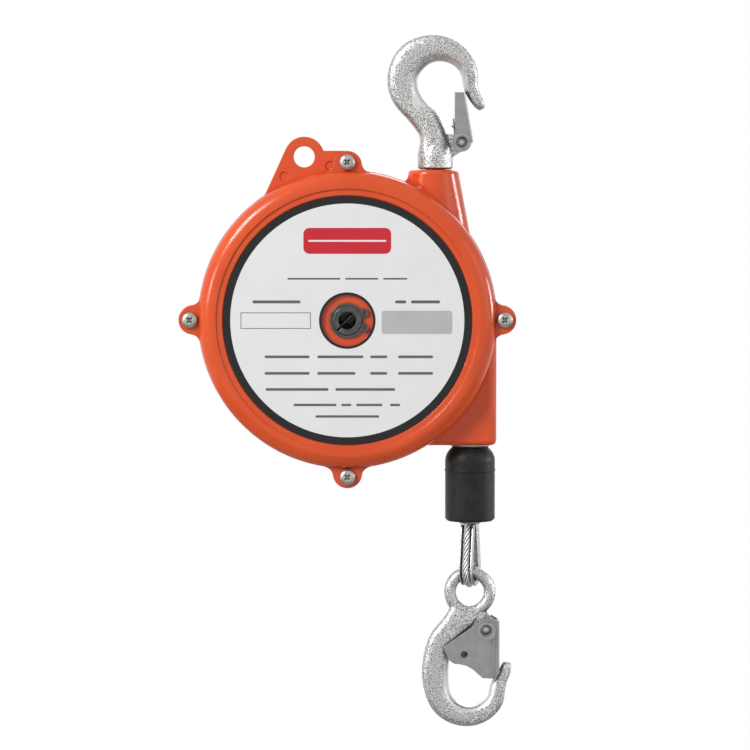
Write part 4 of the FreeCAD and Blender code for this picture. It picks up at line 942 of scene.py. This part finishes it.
@dataclass
class NamePlate(SubAssembly):
    """Printed round plate in the cover's recess, with plain print in place of words."""

    border: float = 3.7 * MM
    hub_ring: float = 1.3 * MM
    hole_r: float = 12.9 * MM
    sides: int = 160
    ink: float = 0.03 * MM
    corner_steps: int = 5
    box: Patch = Patch(-53.5, -18.3, 0.0, 8.2)
    box_line: float = 0.35
    band: Patch = Patch(-22.0, 22.0, 40.0, 13.0, corner=3.0)
    band_line: Patch = Patch(-19.5, 19.5, 40.0, 0.9, corner=0.4, lift=2.0)
    tag: Patch = Patch(17.2, 52.5, -0.8, 11.6, corner=1.4, lift=4.0)
    bar_height: float = 0.5
    bar_corner: float = 0.2
    words: tuple[tuple[float, tuple[float, ...], float], ...] = (
        (21.0, (-30.0, -3.5, -1.0, 15.5, 18.0, 30.0), 1.7),
        (9.4, (-47.5, -23.5, 24.0, 29.5, 32.0, 46.5), 3.0),
        (-18.2, (-41.5, -19.0, -15.0, 8.0, 11.5, 20.0, 25.5, 43.0), 2.7),
        (-26.5, (-41.5, -19.0, -15.0, 4.0, 11.5, 20.0, 25.5, 43.0), 2.7),
        (-34.6, (-41.0, -9.5, -6.0, 24.0), 2.7),
        (-42.4, (-27.0, -5.5, -3.0, 2.0, 4.5, 17.5, 21.5, 26.5), 2.4),
        (-48.2, (-16.0, 16.0), 2.4),
    )

    def __post_init__(self) -> None:
        """Reads the plate's place from its CAD node."""
        low, high, centre = node_span("name_plate")
        self.centre = Vector((centre.x, low.y, centre.z))
        self.outer_r = (high.x - low.x) / 2
        self.thickness = high.y - low.y

    def stock(self) -> Piece:
        """Models the plate as rings of stock and ink, drawn in from its rim.

        Returns:
            The plate.
        """
        bench = Bench("name_plate_stock", bpy.ops.mesh.primitive_circle_add, vertices=self.sides,
                      radius=self.outer_r, location=self.centre, rotation=ALONG_Y)
        radius = self.outer_r
        bench.everything()
        for ring in (self.outer_r - self.border, self.hole_r + self.hub_ring, self.hole_r):
            bpy.ops.mesh.extrude_edges_move()
            bpy.ops.transform.resize(value=(ring / radius,) * 3, center_override=self.centre)
            radius = ring
        bench.everything()
        draw_out(0, self.thickness, 0)
        bench.close()
        coat(bench.obj, self.finishes.plate)
        bench.obj.data.materials.append(self.finishes.black_ink)
        pale = (self.hole_r + self.hub_ring, self.outer_r - self.border)
        for face in bench.obj.data.polygons:
            reach = face.center - self.centre
            reach.y = 0
            face.material_index = 0 if pale[0] < reach.length < pale[1] else 1
        return bench.obj

    def blank(self, name: str, patch: Patch) -> Bench:
        """Lays a flat blank for a patch on the plate.

        Args:
            name: Name of the patch.
            patch: Its place and size.

        Returns:
            The blank, all selected.
        """
        spot = self.centre + Vector(((patch.left + patch.right) / 2 * MM, 0, patch.level * MM))
        bench = Bench(name, bpy.ops.mesh.primitive_plane_add, size=1, location=spot, rotation=ALONG_Y,
                      scale=((patch.right - patch.left) * MM, patch.height * MM, 1))
        bench.everything()
        return bench

    def raised(self, bench: Bench, lift: float, ink: Material) -> Piece:
        """Raises a blank by its layers of ink.

        Args:
            bench: The blank.
            lift: How many layers it stands proud.
            ink: Its material.

        Returns:
            The patch.
        """
        bench.everything()
        draw_out(0, -self.ink * lift, 0)
        bench.close()
        coat(bench.obj, ink)
        return bench.obj

    def printed(self, name: str, patch: Patch, ink: Material) -> Piece:
        """Models one patch with round corners.

        Args:
            name: Name of the patch.
            patch: Its place and size.
            ink: Its material.

        Returns:
            The patch.
        """
        bench = self.blank(name, patch)
        bpy.ops.mesh.bevel(offset=patch.corner * MM, segments=self.corner_steps, affect="VERTICES")
        return self.raised(bench, patch.lift, ink)

    def outline(self) -> Piece:
        """Models the thin outline of the box on the left.

        Returns:
            The outline.
        """
        bench = self.blank("print_box", self.box)
        bpy.ops.mesh.inset(thickness=self.box_line * MM)
        bpy.ops.mesh.delete(type="FACE")
        return self.raised(bench, self.box.lift, self.finishes.grey_ink)

    def build(self) -> None:
        """Builds the plate, its print and its blank tag."""
        place(self.stock(), "casing", "plate", "name_plate")
        marks = [self.outline()]
        for level, ends, height in self.words:
            for left, right in zip(ends[::2], ends[1::2]):
                bar = Patch(left, right, level, height * self.bar_height, height * self.bar_corner)
                marks.append(self.printed("print_line", bar, self.finishes.grey_ink))
        place(join(marks, "name_plate_rules"), "casing", "plate")
        band = [self.printed("print_band", self.band, self.finishes.red_ink),
                self.printed("print_band_line", self.band_line, self.finishes.plate)]
        place(join(band, "name_plate_band"), "casing", "plate")
        place(self.printed("name_plate_tag", self.tag, self.finishes.foil), "casing", "plate")


# ------------------------------------------------------------------ wire rope

@dataclass
class WireRope:
    """Six strands laid round a core strand."""

    radius: float = 1.75 * MM
    strands: int = 6
    lay: float = 16.0 * MM
    rings_per_lay: int = 22
    strand_sides: int = 10
    core: float = 1.05

    def straight(self, name: str, length: float) -> Bench:
        """Models a straight length of rope that stands on the origin, along Z.

        Args:
            name: Name of the piece.
            length: Its length.

        Returns:
            The rope on its bench.
        """
        strand_r = self.radius / 3
        bench = Bench(name, bpy.ops.mesh.primitive_circle_add, vertices=self.strand_sides,
                      radius=strand_r, location=(2 * strand_r, 0, 0))
        bench.everything()
        for _ in range(self.strands - 1):
            bpy.ops.mesh.duplicate()
            bpy.ops.transform.rotate(value=FULL_TURN / self.strands, orient_axis="Z",
                                     center_override=(0, 0, 0))
        core = Bench("rope_core", bpy.ops.mesh.primitive_circle_add,
                     vertices=self.strand_sides, radius=strand_r * self.core)
        join([bench.obj, core.obj], name)
        rings = max(2, round(self.rings_per_lay * length / self.lay))
        bench.modifier("SCREW", axis="Z", angle=FULL_TURN * length / self.lay, screw_offset=length,
                       steps=rings, render_steps=rings, use_smooth_shade=True)
        bench.everything()
        bpy.ops.mesh.fill_holes(sides=0)
        return bench


@dataclass
class RopeLoop:
    """Rope line of the loop round the thimble: two legs and a round crown."""

    crown_r: float = 7.2 * MM
    neck: float = 3.7 * MM
    turn: float = -20.0
    steps: int = 24

    def __post_init__(self) -> None:
        """Reads the loop's place from its CAD node."""
        low, high, _ = node_span("cable_loop")
        self.top = high.z
        self.middle = low.z + WireRope.radius + self.crown_r
        height = self.top - self.middle
        self.lift = math.atan2(height, self.neck)
        self.lift -= math.acos(self.crown_r / math.hypot(self.neck, height))
        self.sweep = math.pi + 2 * self.lift
        spin = Matrix.Rotation(math.radians(self.turn), 4, "Z")
        self.seat = Matrix.Translation((joint_place("load_hook_swing").x, 0, 0)) @ spin

    def on_crown(self, angle: float) -> Vector:
        """Gives the point of the crown at an angle in radians, before the loop is turned."""
        return Vector((0, self.crown_r * math.cos(angle), self.middle + self.crown_r * math.sin(angle)))

    def line(self) -> list[Vector]:
        """Works out the rope line between the two ends of the CAD loop.

        Returns:
            Its points, from one leg's top to the other's.
        """
        turns = [self.lift - self.sweep * step / self.steps for step in range(self.steps + 1)]
        crown = [self.on_crown(turn) for turn in turns]
        points = [Vector((0, self.neck, self.top)), *crown, Vector((0, -self.neck, self.top))]
        return [self.seat @ point for point in points]

    def path(self) -> tuple[Piece, float]:
        """Makes the rope line as a curve.

        Returns:
            The curve and its length.
        """
        points = self.line()
        curve = bpy.data.curves.new("loop_line", "CURVE")
        curve.dimensions = "3D"
        spline = curve.splines.new("POLY")
        spline.points.add(len(points) - 1)
        for spot, point in zip(spline.points, points):
            spot.co = (*point, 1)
        obj = bpy.data.objects.new("loop_line", curve)
        bpy.context.scene.collection.objects.link(obj)
        return obj, sum((b - a).length for a, b in zip(points, points[1:]))


@dataclass
class Thimble(SubAssembly):
    """Sheet channel that the rope loop lies in, open at the top."""

    loop: RopeLoop
    half: float = 3.2 * MM
    sheet: float = 0.8 * MM
    lip: float = 2.5 * MM
    flare: float = 1.08
    top_gap: float = 0.4 * MM
    edge: float = 0.25 * MM
    end_turn: float = 0.01

    def build(self) -> None:
        """Turns the channel's section round the crown and draws it up both legs."""
        loop = self.loop
        inner = loop.crown_r - WireRope.radius
        section = Bench("thimble_section", bpy.ops.mesh.primitive_plane_add, size=1,
                        location=(0, inner - self.sheet / 2, loop.middle),
                        scale=(2 * self.half, self.sheet, 1))
        for side in (-1, 1):
            section.everything()
            bpy.ops.mesh.bisect(plane_co=(side * (self.half - self.sheet), 0, 0), plane_no=(1, 0, 0))
        lip_start = self.half - self.sheet
        section.choose(Part.EDGES, lambda c, d: c.y > inner - MERGE_GAP and abs(c.x) > lip_start)
        draw_out(0, self.lip, 0)
        bpy.ops.transform.resize(value=(self.flare, 1, 1), center_override=(0, inner, loop.middle))
        bpy.ops.object.mode_set(mode="OBJECT")
        raise_it = about_axis(Vector((0, 0, loop.middle)), math.degrees(loop.lift), "X")
        bench = Bench.of(turned_copy(section.obj, "thimble_channel", raise_it))
        bpy.data.objects.remove(section.obj)
        bench.everything()
        bpy.ops.mesh.spin(steps=loop.steps, angle=loop.sweep, center=(0, 0, loop.middle), axis=(1, 0, 0))
        for side in (-1, 1):
            end = loop.on_crown(loop.lift)
            leg = Vector((0, side * (loop.neck - end.y), loop.top - self.top_gap - end.z))
            bench.choose(Part.FACES, lambda c, n: abs(
                math.atan2(c.z - loop.middle, side * c.y) - loop.lift) < self.end_turn)
            draw_out(*leg)
        bench.soften(self.edge, angle=50)
        bench.close(angle=40)
        thimble = turned_copy(bench.obj, "thimble_sheet", loop.seat)
        bpy.data.objects.remove(bench.obj)
        coat(thimble, self.finishes.rivet)
        place(thimble, "load", "pressed_zinc", "thimble")


@dataclass
class LoadRope(SubAssembly):
    """Rope from the drum to the load hook, with its buffer, ferrule, loop and thimble."""

    rope: WireRope = field(default_factory=WireRope)
    loop: RopeLoop = field(default_factory=RopeLoop)

    def run(self) -> None:
        """Makes the straight rope; on the real balancer it draws out of the housing with the load."""
        low, high, centre = node_span("cable_run")
        bench = self.rope.straight("rope_run", high.z - low.z)
        rope = bench.close(angle=60)
        pick(rope)
        rope.location = (centre.x, centre.y, low.z)
        bpy.ops.object.transform_apply(location=True, rotation=True, scale=True)
        coat(rope, self.finishes.rope)
        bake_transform(rope)
        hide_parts("cable_run")
        LOG.info("rope_run bends between casing and load, %d faces", len(rope.data.polygons))

    def rope_loop(self) -> None:
        """Bends a length of rope round the thimble."""
        line, length = self.loop.path()
        bench = self.rope.straight("rope_loop", length)
        bench.modifier("CURVE", object=line, deform_axis="POS_Z")
        rope = bench.close(angle=60)
        bpy.data.objects.remove(line)
        coat(rope, self.finishes.rope)
        place(rope, "load", "wire_rope", "cable_loop")

    def build(self) -> None:
        """Builds the rope pieces and dresses the rest."""
        self.run()
        self.rope_loop()
        Thimble(self.finishes, self.loop).build()
        dress(self.finishes.rubber, ("rubber_buffer",))
        dress(self.finishes.pressed, ("cable_ferrule",))


# ------------------------------------------------------------------ other sub-assemblies

@dataclass
class Suspension(SubAssembly):
    """Top hook with its latch, rivet, spring, washer, nut and pin."""

    forged: tuple[str, ...] = ("suspension_hook",)
    pressed: tuple[str, ...] = ("suspension_latch",)
    steel: tuple[str, ...] = ("swivel_washer", "swivel_nut", "swivel_nut_pin", "suspension_latch_spring")

    def build(self) -> None:
        """Dresses the pieces."""
        dress(self.finishes.forged_top, self.forged)
        dress(self.finishes.pressed, self.pressed)
        dress(self.finishes.turned, self.steel)
        LatchRivet(self.finishes, "suspension_latch_rivet", "suspension").build()


@dataclass
class LatchPress(SubAssembly):
    """Pressed details of the load latch: a bead beside each bend, and the blind rear cheek."""

    node: str = "load_latch"
    bead_in: float = 3.1 * MM
    bead_w: float = 1.5 * MM
    bead_rise: float = 0.3 * MM
    top_in: float = 3.0 * MM
    low_in: float = 0.9 * MM
    bead_round: float = 0.8
    hole: Place = (-2.9 * MM, 0.0, -31.5 * MM)
    hole_r: float = 1.85 * MM
    hole_sides: int = 32
    sheet: float = 1.2 * MM
    cheek_part: float = 0.6
    cheek_edge: float = 0.1 * MM

    def build(self) -> None:
        """Models the beads and the cheek behind the hole."""
        low, high, _ = node_span(self.node)
        length = high.z - low.z - self.top_in - self.low_in
        middle = Vector((high.x - self.bead_in, 0, low.z + self.low_in + length / 2))
        for side, name in ((-1, "front"), (1, "back")):
            bench = Bench(f"latch_bead_{name}", bpy.ops.mesh.primitive_cube_add, size=1,
                          location=middle + Vector((0, side * high.y, 0)),
                          scale=(self.bead_w, 2 * self.bead_rise, length))
            bench.modifier("BEVEL", width=self.bead_rise * self.bead_round, segments=3, limit_method="NONE")
            bead = bench.close(angle=40)
            coat(bead, self.finishes.pressed)
            place(bead, "hook_gate", "pressed_zinc")
        eye = joint_place("load_hook_swing")
        spot = Vector((eye.x, high.y - self.sheet / 2, eye.z)) + Vector(self.hole)
        bench = Bench("latch_rear_cheek", bpy.ops.mesh.primitive_cylinder_add, vertices=self.hole_sides,
                      radius=self.hole_r, depth=self.sheet * self.cheek_part, location=spot,
                      rotation=ALONG_Y)
        bench.soften(self.cheek_edge, angle=50)
        cheek = bench.close(angle=40)
        coat(cheek, self.finishes.pressed)
        place(cheek, "hook_gate", "pressed_zinc")


@dataclass
class LoadHook(SubAssembly):
    """Lower hook with its latch, rivet and spring."""

    forged: tuple[str, ...] = ("load_hook",)
    pressed: tuple[str, ...] = ("load_latch",)
    steel: tuple[str, ...] = ("load_latch_spring",)

    def build(self) -> None:
        """Dresses the pieces."""
        dress(self.finishes.forged_low, self.forged)
        dress(self.finishes.pressed, self.pressed)
        dress(self.finishes.turned, self.steel)
        LatchRivet(self.finishes, "load_latch_rivet", "hook").build()
        LatchPress(self.finishes).build()


@dataclass
class Casing(SubAssembly):
    """Housing and cover, with what is fixed in them."""

    painted: tuple[str, ...] = ("housing", "front_cover")

    def build(self) -> None:
        """Dresses the pieces."""
        dress(self.finishes.enamel, self.painted)
        dress(self.finishes.oiled, ("main_spring", "arbor_circlip", "spring_arbor"))
        dress(self.finishes.turned, ("cable_guide",))


@dataclass
class Drum(SubAssembly):
    """Rope drum with its lid, screws, bushes, rivet and wound rope."""

    def build(self) -> None:
        """Dresses the pieces."""
        dress(self.finishes.cast, ("cable_drum", "drum_lid"))
        dress(self.finishes.fastener, ("lid_screws", "spring_rivet"))
        dress(self.finishes.bronze, ("front_drum_bush", "rear_drum_bush"))
        dress(self.finishes.rope, ("wound_cable", "cable_end_stop"))


# ------------------------------------------------------------------ studio

@dataclass
class Lamp:
    """One soft box."""

    name: str
    place: Place
    size: float
    power: float


@dataclass
class Studio:
    """Camera, soft boxes, pale floor and white surroundings."""

    eye: Place = (-0.0305, -2.1, -0.0188)
    aim: Place = (-0.0305, 0.0, -0.1587)
    lens: float = 199.0
    sensor: float = 36.0
    view_reach: float = 100
    floor_z: float = -3.6
    floor_size: float = 13.0
    floor_cloud: float = 400.0
    floor_shade: Colour = (0.86, 0.86, 0.86)
    floor_colour: Colour = (0.9, 0.9, 0.9)
    ambient: float = 0.45
    lamps: tuple[Lamp, ...] = (
        Lamp("key_box", (-1.7, -1.5, 1.3), 0.8, 47.0),
        Lamp("left_strip", (-1.9, -1.3, 0.25), 0.4, 9.0),
        Lamp("fill_box", (1.9, -1.3, 0.3), 1.2, 4.5),
        Lamp("side_box", (2.1, 0.2, 0.1), 0.5, 15.0),
        Lamp("back_box", (0.3, 1.9, 0.9), 1.4, 14.0),
    )

    def hang(self, name: str, data: bpy.types.ID, place: Place) -> Piece:
        """Puts a camera or a lamp in its place, turned towards the balancer.

        Args:
            name: Its name.
            data: The camera or the lamp.
            place: Where it goes, in metres.

        Returns:
            Its object.
        """
        obj = bpy.data.objects.new(name, data)
        bpy.context.scene.collection.objects.link(obj)
        obj.location = place
        obj.rotation_euler = (Vector(self.aim) - Vector(place)).to_track_quat("-Z", "Y").to_euler()
        return obj

    def camera(self) -> None:
        """Sets up the camera."""
        data = bpy.data.cameras.new("camera")
        data.lens = self.lens
        data.sensor_width = self.sensor
        data.clip_end = self.view_reach
        bpy.context.scene.camera = self.hang("camera", data, self.eye)

    def light(self) -> None:
        """Hangs the soft boxes round the balancer."""
        for lamp in self.lamps:
            data = bpy.data.lights.new(lamp.name, "AREA")
            data.shape = "SQUARE"
            data.size = lamp.size
            data.energy = lamp.power
            self.hang(lamp.name, data, lamp.place)

    def floor(self) -> None:
        """Lays the floor well below, as the balancer hangs and its rope draws out three metres."""
        floor = Bench("floor", bpy.ops.mesh.primitive_plane_add, size=self.floor_size,
                      location=(0, 0, self.floor_z)).obj
        sheet = NodeSheet("pale_floor")
        cloud = sheet.noise(self.floor_cloud)
        sheet.into(Base_Color=sheet.blend(cloud, self.floor_shade, self.floor_colour))
        sheet.constant(Roughness=0.7)
        coat(floor, sheet.material)

    def surroundings(self) -> None:
        """Makes the world: soft even light, and white to the camera, in gloss and through glass."""
        world = bpy.data.worlds.new("studio")
        bpy.context.scene.world = world
        world.use_nodes = True
        tree = world.node_tree
        tree.nodes.clear()
        soft = tree.nodes.new("ShaderNodeBackground")
        soft.inputs["Strength"].default_value = self.ambient
        white = tree.nodes.new("ShaderNodeBackground")
        white.inputs["Color"].default_value = (1, 1, 1, 1)
        path = tree.nodes.new("ShaderNodeLightPath")
        seen = path.outputs["Is Camera Ray"]
        for ray in ("Is Glossy Ray", "Is Transmission Ray"):
            either = tree.nodes.new("ShaderNodeMath")
            either.operation = "MAXIMUM"
            tree.links.new(seen, either.inputs[0])
            tree.links.new(path.outputs[ray], either.inputs[1])
            seen = either.outputs["Value"]
        mix = tree.nodes.new("ShaderNodeMixShader")
        tree.links.new(seen, mix.inputs["Fac"])
        tree.links.new(soft.outputs["Background"], mix.inputs[1])
        tree.links.new(white.outputs["Background"], mix.inputs[2])
        out = tree.nodes.new("ShaderNodeOutputWorld")
        tree.links.new(mix.outputs["Shader"], out.inputs["Surface"])

    def build(self) -> None:
        """Sets the studio up."""
        bpy.context.scene.view_settings.view_transform = "Standard"
        self.camera()
        self.light()
        self.floor()
        self.surroundings()


def main() -> None:
    """Builds the balancer, piece by piece, and the studio round it."""
    logging.basicConfig(level=logging.INFO, format="%(name)s: %(message)s")
    finishes = Finishes()
    for assembly in (Suspension, Casing, NamePlate, CoverScrews, Drum, LoadRope, LoadHook):
        assembly(finishes).build()
        LOG.info("%s done", assembly.__name__)
    Studio().build()


if __name__ == "__main__":
    main()
